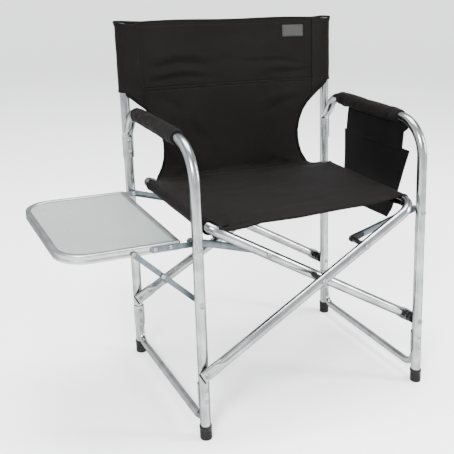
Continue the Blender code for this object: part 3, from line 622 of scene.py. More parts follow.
HEAD = [(0.0, 0.0034), (0.0022, 0.0033), (0.0042, 0.0026), (0.0055, 0.0015), (0.0062, 0.0006), (0.0063, 0.0)]
SMALL_HEAD = [(0.0, 0.0024), (0.0018, 0.0023), (0.0034, 0.0017), (0.0044, 0.0009), (0.0048, 0.0)]
BOLT_HEAD = [(0.0, 0.0016), (0.0021, 0.0016), (0.0024, 0.0030), (0.0044, 0.0029), (0.0057, 0.0018),
             (0.0063, 0.0008), (0.0065, 0.0)]


def rivet_shape(x, z, head_y, tail_y, head=HEAD, tail=SMALL_HEAD, leaning=0.0):
    """A rivet along Y: a domed head at head_y, a shank, and a closed end at tail_y."""
    away = -1 if head_y < tail_y else 1
    length = abs(tail_y - head_y)
    seat = 0.0004
    profile = [(r, h + seat) for r, h in head]
    profile += [(head[-1][0] - 0.0003, 0.0), (0.0030, -0.0004), (0.0030, -length)]
    profile += [(tail[-1][0] - 0.0002, -length)]
    profile += [(r, -length - h - 0.0001) for r, h in reversed(tail)]
    points, faces, uvs = lathe(profile, (x, head_y, z), AXIS_Y * away, 24)
    if leaning:
        points = [(p[0], p[1] + leaning * (p[2] - z), p[2]) for p in points]
    return points, faces, uvs


def stub(x, z, face_y, away, head=SMALL_HEAD, depth=0.001):
    """A head standing on a face, with a short shank sunk into it."""
    profile = [(r, h) for r, h in head] + [(0.0028, -0.0002), (0.0028, -depth), (0.0, -depth)]
    return lathe(profile, (x, face_y, z), AXIS_Y * away, 24)


def saddle_rivets(side):
    """Small rivets through the saddles of the armrest tube and the lower brace."""
    x = SIDES[side] * HALF_WIDTH
    shapes = []
    for z in ARM_RIVETS_Z:
        shapes.append(stub(x, z, rear_y(z) - TUBE_R - 0.0024, -1))
    for z in BRACE_RIVETS_Z:
        shapes.append(stub(x, z, front_y(z) - TUBE_R + 0.0002, -1))
        shapes.append(stub(x, z, front_y(z) + TUBE_R + 0.0024, 1))
        shapes.append(stub(x, z, rear_y(z) - TUBE_R - 0.0024, -1))
        shapes.append(stub(x, z, rear_y(z) + TUBE_R - 0.0002, 1))
    piece(f"{side}_saddle_rivets", joined(*shapes), RIVET, f"frame_{side}")


# ------------------------------------------------------------------------ crossed tubes

FLAT_END = 0.012
FLAT_LENGTH = 0.031
FLAT_BLEND = 0.026


def cross_point(which, arm, x):
    rising = 1 if which == "b" else -1
    z = CENTRE_Z + SLOPE * x * rising
    bottom, top = CROSS_Y[which][arm]
    return Vector((x, bottom + (top - bottom) * (z - PIVOT_Z) / (RAIL_Z - PIVOT_Z), z))


def pressed_section(distance, sides=28):
    """Tube section at a distance from its pressed end: flat there, round further up."""
    share = smooth((FLAT_LENGTH + FLAT_BLEND - distance) / FLAT_BLEND)
    height = TUBE_R + (0.0044 - TUBE_R) * share
    width = TUBE_R + (0.0138 - TUBE_R) * share
    power = 1 - 0.45 * share
    if distance < 0.0012:
        width -= 0.0012 - distance
        height -= (0.0012 - distance) * 0.5
    outline = []
    for k in range(sides):
        c = math.cos(math.tau * k / sides)
        s = math.sin(math.tau * k / sides)
        outline.append((
            math.copysign(abs(c) ** power, c) * width,
            math.copysign(abs(s) ** power, s) * height,
        ))
    return outline


def cross_tube(which):
    foot_side = -1 if which == "b" else 1
    foot_x = foot_side * (HALF_WIDTH + FLAT_END * math.cos(OPEN_ANGLE))
    rail_x = -foot_side * RAIL_X
    corners = [cross_point(which, "front", x) for x in (foot_x, rail_x)]
    corners += [cross_point(which, "rear", x) for x in (rail_x, foot_x)]
    bends = rounded_path(corners, [0.040, 0.040])
    fine = []
    for step in range(1, 31):
        fine.append(foot_x - foot_side * 0.064 * math.cos(OPEN_ANGLE) * step / 30)
    path = bends[:1] + [cross_point(which, "front", x) for x in fine]
    path += dense(bends[1:-1], 0.03)
    path += [cross_point(which, "rear", x) for x in reversed(fine)] + bends[-1:]
    across = Vector((foot_side * math.sin(OPEN_ANGLE), 0, math.cos(OPEN_ANGLE)))
    ends = (path[0], path[-1])
    rings = []
    for point, side, up in frames(path, across):
        near = min((point - end).length for end in ends)
        rings.append([point + side * u + up * v for u, v in pressed_section(near)])
    body = f"cross_{which}"
    piece(f"crossed_tube_{which}", loft(rings), ALUMINIUM, body, [f"cross_tube_{which}"])
    plugs = []
    for point, inward in ((path[0], path[1]), (path[-1], path[-2])):
        heading = (point - inward).normalized()
        side = (across - heading * across.dot(heading)).normalized()
        up = heading.cross(side)
        levels = ((-0.0016, 0.92), (-0.0016, 1.0), (0.0006, 1.0), (0.0014, 0.94), (0.0016, 0.80))
        section = pressed_section(0.002)
        plugs.append(loft([
            [point + heading * out + side * u * size + up * v * size for u, v in section]
            for out, size in levels
        ]))
    piece(f"crossed_tube_{which}_plugs", joined(*plugs), PLASTIC, body)


def spacer_shape(x, z, y_range, outer=0.0062):
    """A washer-like ring between two tubes, with a groove round its middle."""
    low, high = sorted(y_range)
    low += 0.0002
    high -= 0.0002
    middle = (low + high) / 2
    profile = [
        (0.0031, 0.0), (outer, 0.0), (outer + 0.0004, 0.0005), (outer + 0.0004, middle - low - 0.0004),
        (outer, middle - low), (outer + 0.0004, middle - low + 0.0004), (outer + 0.0004, high - low - 0.0005),
        (outer, high - low), (0.0031, high - low),
    ]
    return lathe(profile, (x, low, z), AXIS_Y, 24)


def lower_pivot(side, leg):
    which = "b" if side == "left" else "a"
    x = SIDES[side] * HALF_WIDTH
    leg_y = LEG_Y[leg](PIVOT_Z)
    tube_y = CROSS_Y[which][leg][0]
    low = min(leg_y - TUBE_R, tube_y - 0.0044)
    high = max(leg_y + TUBE_R, tube_y + 0.0044)
    head, tail = (low, high) if leg == "front" else (high, low)
    shape = rivet_shape(x, PIVOT_Z, head, tail, leaning=LEAN[leg])
    piece(f"{side}_{leg}_pivot_pin", shape, RIVET, f"frame_{side}", [f"{side}_{leg}_pivot_rivet"])
    faces = (tube_y + 0.0044, leg_y - TUBE_R) if tube_y < leg_y else (leg_y + TUBE_R, tube_y - 0.0044)
    piece(f"{side}_{leg}_pivot_ring", spacer_shape(x, PIVOT_Z, faces, 0.0122), PLASTIC, f"frame_{side}",
          [f"{side}_{leg}_pivot_spacer"])


def centre_pivot(leg):
    tube_b = cross_point("b", leg, 0.0).y
    tube_a = cross_point("a", leg, 0.0).y
    ends = (tube_b - TUBE_R, tube_a + TUBE_R)
    head, tail = ends if leg == "front" else ends[::-1]
    piece(f"{leg}_centre_pin", rivet_shape(0, CENTRE_Z, head, tail, leaning=0.1), RIVET, "cross_b",
          [f"{leg}_centre_rivet"])
    faces = (tube_b + TUBE_R - 0.0006, tube_a - TUBE_R + 0.0006)
    ring = spacer_shape(0, CENTRE_Z, faces)
    piece(f"{leg}_centre_ring", ring, PLASTIC, "cross_b", [f"{leg}_centre_spacer"])


# -------------------------------------------------------------------------------- links

def link(side, leg):
    """Pressed channel from a leg bolt, and its plastic end on a crossed tube."""
    sign = SIDES[side]
    leg_end = Vector((sign * HALF_WIDTH, BOLT_Z))
    tube_end = Vector((sign * LINK_X, LINK_Z))
    along = (tube_end - leg_end).normalized()
    steel_end = tube_end - along * 0.019
    low = LINK_Y[side, leg]
    high = low + LINK_DEPTH
    opens_back = leg == "front"
    mouth, floor = (high, low) if opens_back else (low, high)
    step = 1 if opens_back else -1
    levels = [
        (0.0012, floor), (0.0003, floor + step * 0.0004), (0.0, floor + step * 0.0013),
        (0.0, mouth - step * 0.0002), (0.0003, mouth), (0.0010, mouth), (0.0013, mouth - step * 0.0002),
        (0.0013, floor + step * 0.0026), (0.0017, floor + step * 0.0017), (0.0026, floor + step * 0.0014),
    ]
    rings = [raised(stadium(leg_end, steel_end, 0.007 - inset), y) for inset, y in levels]
    channel = loft(rings)
    piece(f"{side}_{leg}_channel", channel, ZINC, f"links_{side}", [f"{side}_{leg}_link"])
    start = steel_end - along * 0.004
    cap = bar(start, tube_end, 0.0078, (low - 0.0002, high + 0.0002), 0.0009)
    which = "a" if side == "left" else "b"
    tube_y = cross_point(which, leg, sign * LINK_X).y
    away, face = (-1, low) if tube_y > low else (1, high)
    boss = lathe([(0.0, 0.0010), (0.0056, 0.0010), (0.0060, 0.0006), (0.0060, -0.001)],
                 (tube_end.x, face, tube_end.y), AXIS_Y * away, 24)
    end = joined(cap, boss)
    piece(f"{side}_{leg}_channel_end", end, PLASTIC, f"links_{side}", [f"{side}_{leg}_link_end"])
    head = stub(tube_end.x, tube_end.y, face + away * 0.0010, away)
    piece(f"{side}_{leg}_channel_end_rivet", head, RIVET, f"links_{side}")


def link_fasteners(side, leg):
    sign = SIDES[side]
    which = "a" if side == "left" else "b"
    leg_y = LEG_Y[leg](BOLT_Z)
    low = LINK_Y[side, leg]
    if leg == "front":
        ends = (leg_y - TUBE_R, low + 0.0022)
    else:
        ends = (leg_y + TUBE_R, TABLE_Y[1] + 0.0003 if side == "left" else low + LINK_DEPTH - 0.0022)
    shape = rivet_shape(sign * HALF_WIDTH, BOLT_Z, *ends, head=BOLT_HEAD, leaning=LEAN[leg])
    piece(f"{side}_{leg}_bolt", shape, RIVET, f"frame_{side}", [f"{side}_{leg}_link_bolt"])
    tube_y = cross_point(which, leg, sign * LINK_X).y
    if tube_y > low:
        ends = (tube_y + TUBE_R, low + LINK_DEPTH + 0.0012)
    else:
        ends = (tube_y - TUBE_R, low - 0.0012)
    flat_tail = [(0.0, 0.0006), (0.0040, 0.0006), (0.0046, 0.0003), (0.0046, 0.0)]
    shape = rivet_shape(sign * LINK_X, LINK_Z, *ends, tail=flat_tail)
    piece(f"{side}_{leg}_tube_rivet", shape, RIVET, f"cross_{which}", [f"{side}_{leg}_link_rivet"])
    gap = sorted((tube_y + math.copysign(TUBE_R - 0.0006, low - tube_y), ends[1]))
    if gap[1] - gap[0] > 0.004:
        ring = spacer_shape(sign * LINK_X, LINK_Z, gap, 0.0052)
        piece(f"{side}_{leg}_tube_ring", ring, PLASTIC, f"cross_{which}")


# -------------------------------------------------------------------------------- table

def table_outline(inset, z, steps=16):
    """Table's edge drawn inset: large round corners outside, small ones beside the chair."""
    low_x, high_x = TABLE_X[0] + inset, TABLE_X[1] - inset
    low_y, high_y = TABLE_Y[0] + inset, TABLE_Y[1] - inset
    points = []
    corners = [
        (high_x, low_y, -1, 1, 0.006, -math.pi / 2),
        (high_x, high_y, -1, -1, 0.006, 0.0),
        (low_x, high_y, 1, -1, 0.062, math.pi / 2),
        (low_x, low_y, 1, 1, 0.062, math.pi),
    ]
    for x, y, to_x, to_y, radius, start in corners:
        radius = max(radius - inset, 0.0008)
        for step in range(steps + 1):
            angle = start + math.pi / 2 * step / steps
            points.append(
                Vector((
                    x + to_x * radius + radius * math.cos(angle),
                    y + to_y * radius + radius * math.sin(angle),
                    z,
                ))
            )
    return points


def table_rim():
    """Extruded edge: outer wall with a shallow groove, and a rounded lip over the panel."""
    top = TABLE_TOP
    base = top - RIM_H
    profile = [
        (0.0019, base), (0.0004, base), (0.0, base + 0.0005), (0.0, base + 0.0062), (0.0006, base + 0.0068),
        (0.0006, base + 0.0078), (0.0, base + 0.0084), (0.0, top - 0.0022), (0.0005, top - 0.0009),
        (0.0018, top - 0.0001), (0.0030, top), (0.0088, top), (0.0100, top - 0.0003), (0.0108, top - 0.0011),
        (0.0110, top - 0.0021), (0.0104, top - 0.0022), (0.0021, top - 0.0022), (0.0019, top - 0.0030),
    ]
    rings = [table_outline(inset, z) for inset, z in profile]
    piece("table_edge", loft(rings, wrap=True), RIM_METAL, "table", ["table_rim"], sharp=50)


def table_panel():
    top = TABLE_TOP - 0.0025
    profile = [(0.0026, top - 0.0042), (0.0023, top - 0.0039), (0.0023, top - 0.0003), (0.0026, top)]
    rings = [table_outline(inset, z) for inset, z in profile]
    piece("table_board", loft(rings), PANEL, "table", ["table_panel"])


def table_metalwork(leg):
    """Bracket, stays and their rivets on one side of the table."""
    outward = -1 if leg == "front" else 1
    edge = TABLE_Y[0] if leg == "front" else TABLE_Y[1]
    span = sorted((edge + outward * 0.0003, edge + outward * 0.0028))
    arm = bar((-HALF_WIDTH, BOLT_Z), (-0.357, BOLT_Z + 0.0016), 0.006, span)
    piece(f"{leg}_bracket", arm, ZINC, "table", [f"{leg}_table_bracket"])
    heads = []
    for x in (-0.352, -0.320):
        heads.append(stub(x, BOLT_Z + 0.0012, edge + outward * 0.0028, outward))
        heads.append(stub(x, BOLT_Z + 0.0012, edge - outward * 0.0018, -outward))
    piece(f"{leg}_bracket_rivets", joined(*heads), RIVET, "table")
    layers = {which: (STAY_Y[leg][which], STAY_Y[leg][which] + STAY_H) for which in ("lower", "upper")}
    ends = {"lower": STAY_LEG, "upper": STAY_TABLE}
    for which, far in ends.items():
        shapes = [bar(far, STAY_ELBOW, 0.0055, layers[which])]
        if which == "upper":
            shapes.append(stop_tab(layers, outward))
        piece(f"{leg}_{which}_arm", joined(*shapes), ZINC, f"stay_{which}", [f"{leg}_{which}_stay"])
    low, high = layers["lower"]
    outer_face, tail_face = (low, layers["upper"][1]) if leg == "front" else (high, layers["upper"][0])
    elbow = stub(*STAY_ELBOW, outer_face, outward)
    piece(f"{leg}_elbow_head", elbow, RIVET, "stay_lower", [f"{leg}_stay_elbow_rivet"])
    piece(f"{leg}_elbow_tail", stub(*STAY_ELBOW, tail_face, -outward), RIVET, "stay_upper")
    leg_y = LEG_Y[leg](STAY_LEG[1])
    tail = high if leg == "front" else low
    shape = rivet_shape(*STAY_LEG, leg_y + outward * TUBE_R, tail, leaning=0.5 * LEAN[leg])
    piece(f"{leg}_leg_pin", shape, RIVET, "frame_left", [f"{leg}_stay_leg_rivet"])
    upper_low, upper_high = layers["upper"]
    if leg == "front":
        shape = rivet_shape(*STAY_TABLE, upper_low, TABLE_Y[0] + 0.002, head=SMALL_HEAD)
    else:
        shape = rivet_shape(*STAY_TABLE, TABLE_Y[1], upper_low, head=SMALL_HEAD)
    piece(f"{leg}_table_pin", shape, RIVET, "table", [f"{leg}_stay_table_rivet"])


def stop_tab(layers, outward):
    """Small lug on the upper arm, bent over the lower arm's edge so that the elbow locks."""
    along = (Vector(STAY_LEG) - Vector(STAY_ELBOW)).normalized()
    under = Vector((-along.y, along.x))
    under = under if under.y < 0 else -under
    centre = Vector(STAY_ELBOW) + along * 0.010 + under * 0.0068
    start = centre - along * 0.0045
    end = centre + along * 0.0045
    low = min(layers["lower"][0], layers["upper"][0])
    high = max(layers["lower"][1], layers["upper"][1])
    return bar(start, end, 0.0012, (low, high), 0.0003)


def build_metal():
    for side in SIDES:
        frame_tube(side)
        post(side)
        brace(side)
        saddle_rivets(side)
        for leg in LEG_Y:
            foot(side, leg)
            lower_pivot(side, leg)
            link(side, leg)
            link_fasteners(side, leg)
    for which in ("a", "b"):
        cross_tube(which)
    table_rim()
    table_panel()
    for leg in LEG_Y:
        centre_pivot(leg)
        table_metalwork(leg)


build_metal()


# ------------------------------------------------------------------------------- fabric

CLOTH_T = 0.0013


def hump(x, width):
    return math.exp(-((x / width) ** 2))


def creases(table, a, b):
    """Sum of soft creases at (a, b): each is (a, b, angle in degrees, length, width, depth)."""
    total = 0.0
    for centre_a, centre_b, angle, length, width, depth in table:
        turn = math.radians(angle)
        da = a - centre_a
        db = b - centre_b
        along = da * math.cos(turn) + db * math.sin(turn)
        across = db * math.cos(turn) - da * math.sin(turn)
        across += 0.10 * along * math.sin(along * 30 + centre_a * 50)
        total += depth * hump(along, length) * hump(across, width)
    return total


def ripple(point, scale, depth):
    return depth * noise.fractal(Vector(point) * scale, 1.0, 2.0, 3)


def cloth_sheet(name, rows, keep, material, thickness=CLOTH_T):
    """One layer of cloth from rows of points, thickened; keep(row, column) drops faces."""
    points, faces, uvs = loft(rows, ring_open=True, caps=False)
    count = len(rows[0])
    kept = []
    kept_uvs = []
    for index, (face, uv) in enumerate(zip(faces, uvs)):
        if keep(index // (count - 1), index % (count - 1)):
            kept.append(face)
            kept_uvs.append(uv)
    obj = piece(name, (points, kept, kept_uvs), material, sharp=60, solid=False)
    bm = bmesh.new()
    bm.from_mesh(obj.data)
    loose = [vert for vert in bm.verts if not vert.link_faces]
    bmesh.ops.delete(bm, geom=loose, context="VERTS")
    bm.to_mesh(obj.data)
    bm.free()
    thicken = obj.modifiers.new("thickness", "SOLIDIFY")
    thicken.thickness = thickness
    thicken.offset = 0.0
    return obj


def stitches(name, lines, material=THREAD, length=0.0030, gap=0.0014, radius=0.00045):
    """Thread along seams: each line is a list of (point, outward normal)."""
    shapes = []
    for line in lines:
        carried = 0.0
        for (a, normal_a), (b, normal_b) in zip(line, line[1:]):
            a, b = Vector(a), Vector(b)
            span = (b - a).length
            if span < 1e-6:
                continue
            direction = (b - a) / span
            at = carried
            while at + length <= span:
                normal = Vector(normal_a).lerp(Vector(normal_b), at / span).normalized()
                shapes.append(stitch(a + direction * at, direction, normal, length, radius))
                at += length + gap
            carried = max(0.0, at - span)
    return piece(name, joined(*shapes), material, sharp=80)


def stitch(start, direction, normal, length, radius):
    side = direction.cross(normal).normalized()
    rings = []
    for share, size, lift in ((0.0, 0.35, -0.3), (0.25, 1.0, 0.25), (0.75, 1.0, 0.25), (1.0, 0.35, -0.3)):
        centre = start + direction * length * share + normal * radius * lift
        ring = []
        for k in range(5):
            turn = math.tau * k / 5
            ring.append(centre + (side * math.cos(turn) + normal * math.sin(turn)) * radius * size)
        rings.append(ring)
    return loft(rings)


# Seat: wraps over both rails, hangs a little between them, and meets the back at a crease.

SEAT_TOP = RAIL_Z + TUBE_R + 0.0010
SEAT_FRONT = -0.136
SEAT_REAR = 0.2285
RAIL_WRAP = TUBE_R + 0.0013
SLEEVE_Y = {"left": (-0.116, 0.190), "right": (-0.136, 0.170)}
FRONT_EDGE_Z = [
    (-0.237, 0.4475), (-0.225, 0.4465), (-0.211, 0.4320), (-0.19, 0.4265), (-0.16, 0.4275),
    (-0.12, 0.4335), (-0.03, 0.4335), (0.06, 0.4355), (0.13, 0.438), (0.20, 0.4425), (0.237, 0.4475),
]
SEAT_CREASES = [
    (-0.195, -0.118, 62, 0.030, 0.006, -0.0035),
    (-0.175, -0.110, 50, 0.035, 0.007, 0.0030),
    (-0.150, -0.100, 38, 0.040, 0.009, -0.0022),
    (-0.02, -0.085, 3, 0.080, 0.010, 0.0010),
    (0.06, -0.055, 4, 0.070, 0.012, -0.0012),
    (0.10, 0.010, -3, 0.090, 0.016, 0.0010),
    (-0.09, 0.080, 5, 0.090, 0.016, -0.0013),
    (-0.165, 0.185, 35, 0.035, 0.009, 0.0020),
    (0.165, 0.190, -35, 0.035, 0.009, 0.0018),
    (0.03, 0.150, -2, 0.120, 0.014, 0.0012),
    (0.190, 0.120, 80, 0.060, 0.010, -0.0012),
    (-0.190, 0.060, 95, 0.080, 0.010, -0.0012),
]


def rail_centre(sign, y):
    """Middle of a seat rail at y and how much its bend widens it there: (x, z, stretch)."""
    bend = 0.040
    sine = min(0.85, max(0.0, (CROSS_Y["a"]["front"][1] + bend - y) / bend)) if sign < 0 else 0.0
    shift = bend * (1 - math.sqrt(1 - sine * sine))
    x = sign * RAIL_X + shift * math.cos(OPEN_ANGLE)
    return x, RAIL_Z - shift * math.sin(OPEN_ANGLE), 1 / math.sqrt(1 - sine * sine)


def seat_half_width(y, side):
    low, high = SLEEVE_Y[side]
    if y < low - 1e-6:
        return 0.2135
    if y <= high + 1e-6:
        return abs(rail_centre(SIDES[side], y)[0])
    share = smooth((y - high) / (SEAT_REAR - high))
    return 0.2260 + (0.2050 - 0.2260) * share


def seat_height(x, y):
    across = min(1.0, abs(x) / RAIL_X)
    sag = -0.0135 * (1 - across**2.2)
    front = smooth((SEAT_FRONT + 0.10 - y) / 0.10)
    height = SEAT_TOP + sag
    height += (interpolate(FRONT_EDGE_Z, x) - height) * front * (0.35 if across > 0.97 else 1.0)
    rear = smooth((y - 0.150) / 0.060)
    height += (0.4315 - height) * rear * (1 - across**6)
    lift = max(0.0, y - 0.205)
    height += 9.0 * lift * lift
    room = 1 - smooth((across - 0.86) / 0.12)
    height += creases(SEAT_CREASES, x, y) * room
    height += ripple((x, y, 0.3), 9.0, 0.0008) * room
    for seam in (0.2085, 0.2015):
        height -= 0.0005 * hump(abs(x) - seam, 0.0018)
    return height


def seat_rows():
    levels = evenly(SEAT_FRONT, SEAT_REAR, 66)
    for side in SIDES:
        low, high = SLEEVE_Y[side]
        levels += [low - 0.0002, low, high, high + 0.0002]
    return sorted(set(round(y, 5) for y in levels if SEAT_FRONT <= y <= SEAT_REAR))


def rail_wrap(sign, y, steps=16):
    """Cloth round a rail, from under its inner side up to its top."""
    points = []
    lip = 0.0006 * math.sin(y * 90)
    x, z, stretch = rail_centre(sign, y)
    points.append(Vector((x - sign * 0.030, y, z - 0.0025)))
    points.append(Vector((x - sign * 0.020, y, z - 0.0062 + lip)))
    for step in range(steps + 1):
        angle = math.radians(-118 + (90 + 118) * step / steps)
        reach = RAIL_WRAP + 0.0006 * noise.noise(Vector((angle * 1.5, y * 38, sign * 3)))
        out = sign * reach * stretch * math.cos(angle)
        up = reach * stretch**0.5 * math.sin(angle)
        points.append(Vector((x + out, y, z + up)))
    return points


def build_seat():
    levels = seat_rows()
    columns = 72
    rows = []
    wrap = len(rail_wrap(1, 0.0))
    for y in levels:
        left, right = (seat_half_width(y, side) for side in ("left", "right"))
        row = rail_wrap(-1, y)[:-1]
        for x in evenly(-left, right, columns):
            depth = y + 0.0012 * math.sin(x * 31) * smooth((SEAT_FRONT + 0.05 - y) / 0.05)
            row.append(Vector((x, depth, seat_height(x, y))))
        row += rail_wrap(1, y)[-2::-1]
        rows.append(row)
    total = len(rows[0])

    def keep(row, column):
        y = (levels[row] + levels[row + 1]) / 2
        if column < wrap - 1:
            return SLEEVE_Y["left"][0] - 1e-6 < y < SLEEVE_Y["left"][1] + 1e-6
        if column >= total - wrap:
            return SLEEVE_Y["right"][0] - 1e-6 < y < SLEEVE_Y["right"][1] + 1e-6
        return True

    seat = cloth_sheet("seat_cloth", rows, keep, CLOTH)
    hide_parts("seat_sling")
    lines = []
    for x in (-0.2085, -0.2015, 0.2015, 0.2085):
        span = [SEAT_FRONT + 0.002 + (SEAT_REAR - 0.030 - SEAT_FRONT) * k / 60 for k in range(61)]
        lines.append([((x, y, seat_height(x, y) + CLOTH_T / 2), AXIS_Z) for y in span])
    for inset in (0.0085, 0.0145):
        y = SEAT_FRONT + inset
        span = [-0.212 + 0.440 * k / 60 for k in range(61)]
        lines.append([((x, y, seat_height(x, y) + CLOTH_T / 2), AXIS_Z) for x in span])
    thread = stitches("seat_thread", lines)
    hem = seat_hem()
    mouths = seat_mouths()
    bartacks = seat_bartacks()
    for obj in (seat, thread, hem, mouths, bartacks):
        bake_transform(obj)


def seat_hem():
    """Rolled front edge of the seat."""
    path = []
    for x in evenly(-0.2125, 0.232, 80):
        depth = SEAT_FRONT + 0.0012 * math.sin(x * 31)
        path.append(Vector((x, depth, seat_height(x, SEAT_FRONT) - 0.0006)))
    return edging("seat_front_hem", path, AXIS_Y, oval_section(0.0014, 0.0024), CLOTH)


def seat_mouths():
    """Hemmed mouths of the rail sleeves, and the turned-in edge of the front left notch."""
    section = oval_section(0.0013, 0.0019, 10)
    shapes = []
    for side, sign in SIDES.items():
        for y in SLEEVE_Y[side]:
            path = rail_wrap(sign, y)[2:]
            shapes.append(loft(sweep(path, AXIS_Y, section)))
    low = SLEEVE_Y["left"][0]
    notch = []
    for k in range(15):
        share = k / 14
        y = SEAT_FRONT + (low - SEAT_FRONT) * share
        x = -0.2135 - 0.0012 * math.sin(share * 9) - 0.0090 * smooth((share - 0.7) / 0.3)
        drop = 0.0030 * math.sin(math.pi * min(1.0, share * 2.2)) if share < 0.46 else 0.0
        notch.append(Vector((x, y, seat_height(x, y) - 0.0008 - drop)))
    shapes.append(loft(sweep(notch, AXIS_X, oval_section(0.0026, 0.0021))))
    x, z, _ = rail_centre(-1, low)
    tuck = [Vector((x + 0.0060, low + 0.004, z - 0.0110)), Vector((x + 0.0085, low, z - 0.0145)),
            Vector((x + 0.0110, low - 0.004, z - 0.0175)), Vector((x + 0.0130, low - 0.007, z - 0.0200)),
            Vector((x + 0.0140, low - 0.009, z - 0.0215))]
    sizes = (0.0030, 0.0062, 0.0064, 0.0040, 0.0012)
    outline = round_section(1.0, 14)

    def tapered(index):
        return [(u * sizes[index], v * sizes[index] * 0.5) for u, v in outline]

    shapes.append(loft(sweep(tuck, AXIS_X, tapered)))
    return piece("seat_sleeve_hems", joined(*shapes), CLOTH, sharp=80)


def seat_bartacks():
    """Short dense stitching where the back's sides meet the seat."""
    lines = []
    for sign in (-1, 1):
        for k in range(5):
            x = sign * (0.196 + 0.0011 * k)
            y = 0.197
            lines.append([((x, y + 0.011 * j / 4, seat_height(x, y + 0.011 * j / 4) + CLOTH_T / 2), AXIS_Z)
                          for j in range(5)])
    return stitches("seat_bartacks", lines, length=0.0022, gap=0.0004, radius=0.00055)


# Back: a band sleeved over the posts, narrowing below to a waist that meets the seat.

SEAM_X = 0.2285
BAND_LOW = 0.646
BACK_LOW = 0.4275
BACK_TOP = 0.7985
WAIST = [
    (0.4270, 0.2120), (0.4400, 0.2065), (0.4480, 0.2010), (0.4600, 0.1940), (0.4800, 0.1875),
    (0.5000, 0.1850), (0.5200, 0.1850), (0.5450, 0.1900), (0.5700, 0.2000), (0.5900, 0.2140),
    (0.6050, 0.2290), (0.6200, 0.2480), (0.6330, 0.2640), (0.6400, 0.2720), (0.6460, 0.2720),
]
BAND_SEAMS = (0.6490, 0.6425)
TOP_SEAM_Z = 0.7870
BACK_CREASES = [
    (-0.135, 0.702, 1, 0.075, 0.007, -0.0042),
    (-0.135, 0.722, 0, 0.080, 0.009, 0.0026),
    (-0.155, 0.668, 2, 0.080, 0.006, -0.0040),
    (-0.140, 0.684, 1, 0.070, 0.008, 0.0030),
    (0.120, 0.698, -3, 0.070, 0.006, -0.0032),
    (0.150, 0.668, 4, 0.065, 0.006, -0.0030),
    (0.130, 0.683, 2, 0.060, 0.007, 0.0020),
    (0.00, 0.760, 2, 0.120, 0.014, -0.0012),
    (-0.150, 0.600, -38, 0.060, 0.012, -0.0026),
    (-0.120, 0.575, -30, 0.060, 0.014, 0.0020),
    (0.140, 0.590, 20, 0.055, 0.010, -0.0030),
    (0.130, 0.612, 12, 0.060, 0.010, 0.0022),
    (-0.070, 0.530, -60, 0.060, 0.014, 0.0018),
    (-0.060, 0.505, -70, 0.050, 0.010, -0.0014),
    (0.060, 0.500, 75, 0.060, 0.018, 0.0010),
    (0.150, 0.450, 160, 0.040, 0.008, 0.0022),
    (-0.150, 0.450, 20, 0.040, 0.008, 0.0020),
    (0.0, 0.447, 0, 0.140, 0.007, -0.0016),
]


def back_y(x, z):
    """Front face of the back cloth."""
    base = rear_y(z) - 0.0128
    room = 1 - smooth((abs(x) - 0.200) / 0.030)
    bow = 0.010 * max(0.0, 1 - (x / 0.235) ** 2) * smooth((z - 0.44) / 0.10)
    drape = creases(BACK_CREASES, x, z) + ripple((x, 0.2, z), 8.0, 0.0009)
    fillet = -0.0040 * math.exp(-max(0.0, z - 0.429) / 0.012)
    groove = sum(0.0012 * hump(z - seam, 0.0017) for seam in BAND_SEAMS)
    return base + (bow - drape) * room + fillet + groove


def back_width(z):
    return interpolate(WAIST, z) if z < BAND_LOW else HALF_WIDTH


def build_back_panel():
    heights = evenly(BACK_LOW, BACK_TOP, 120)
    heights += [seam + step * 0.0008 for seam in BAND_SEAMS for step in range(-3, 4)]
    heights.sort()
    rows = []
    for z in heights:
        half = min(back_width(z), SEAM_X + 0.0012)
        wavy = smooth((z - 0.76) / 0.04)
        row = []
        for x in evenly(-half, half, 80):
            drop = 0.0010 * math.cos(x * 22) * wavy
            row.append(Vector((x, back_y(x, z) + CLOTH_T / 2, z - drop)))
        rows.append(row)
    panel = cloth_sheet("back_cloth", rows, lambda row, column: True, CLOTH)
    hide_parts("back_sling")
    lines = []
    for z in (*BAND_SEAMS, TOP_SEAM_Z):
        lines.append([((x, back_y(x, z), z), -AXIS_Y) for x in evenly(-0.226, 0.226, 70)])
    for sign in (-1, 1):
        line = []
        for k in range(41):
            z = 0.450 + 0.148 * k / 40
            x = back_width(z) - 0.0085
            line.append(((sign * x, back_y(x, z), z), -AXIS_Y))
        lines.append(line)
    thread = stitches("back_thread", lines)
    bindings = [back_binding(sign) for sign in (-1, 1)]
    hem = top_hem()
    patch, patch_thread = label_patch()
    parts = [panel, thread, hem, patch, patch_thread, *bindings]
    for obj in parts:
        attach(obj, "frame_left")
        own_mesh(obj)


def back_binding(sign):
    """Tape folded over the waist's edge."""
    path = []
    for z in evenly(0.4300, 0.6040, 60):
        x = min(back_width(z), SEAM_X + 0.001)
        path.append(Vector((sign * (x - 0.0022), back_y(x, z) + CLOTH_T / 2, z)))
    name = "left_waist_binding" if sign < 0 else "right_waist_binding"
    return edging(name, path, AXIS_Y, oval_section(0.0019, 0.0042, 14), BINDING)


def top_hem():
    """Folded top edge of the band."""
    path = []
    for x in evenly(-SEAM_X, SEAM_X, 60):
        drop = 0.0010 * math.cos(x * 22)
        path.append(Vector((x, back_y(x, BACK_TOP) + CLOTH_T / 2, BACK_TOP - drop - 0.0008)))
    section = [(0.0022 * math.sin(t), 0.0013 * math.cos(t)) for t in (math.tau * k / 12 for k in range(12))]
    return edging("back_top_hem", path, AXIS_Z, section, CLOTH)


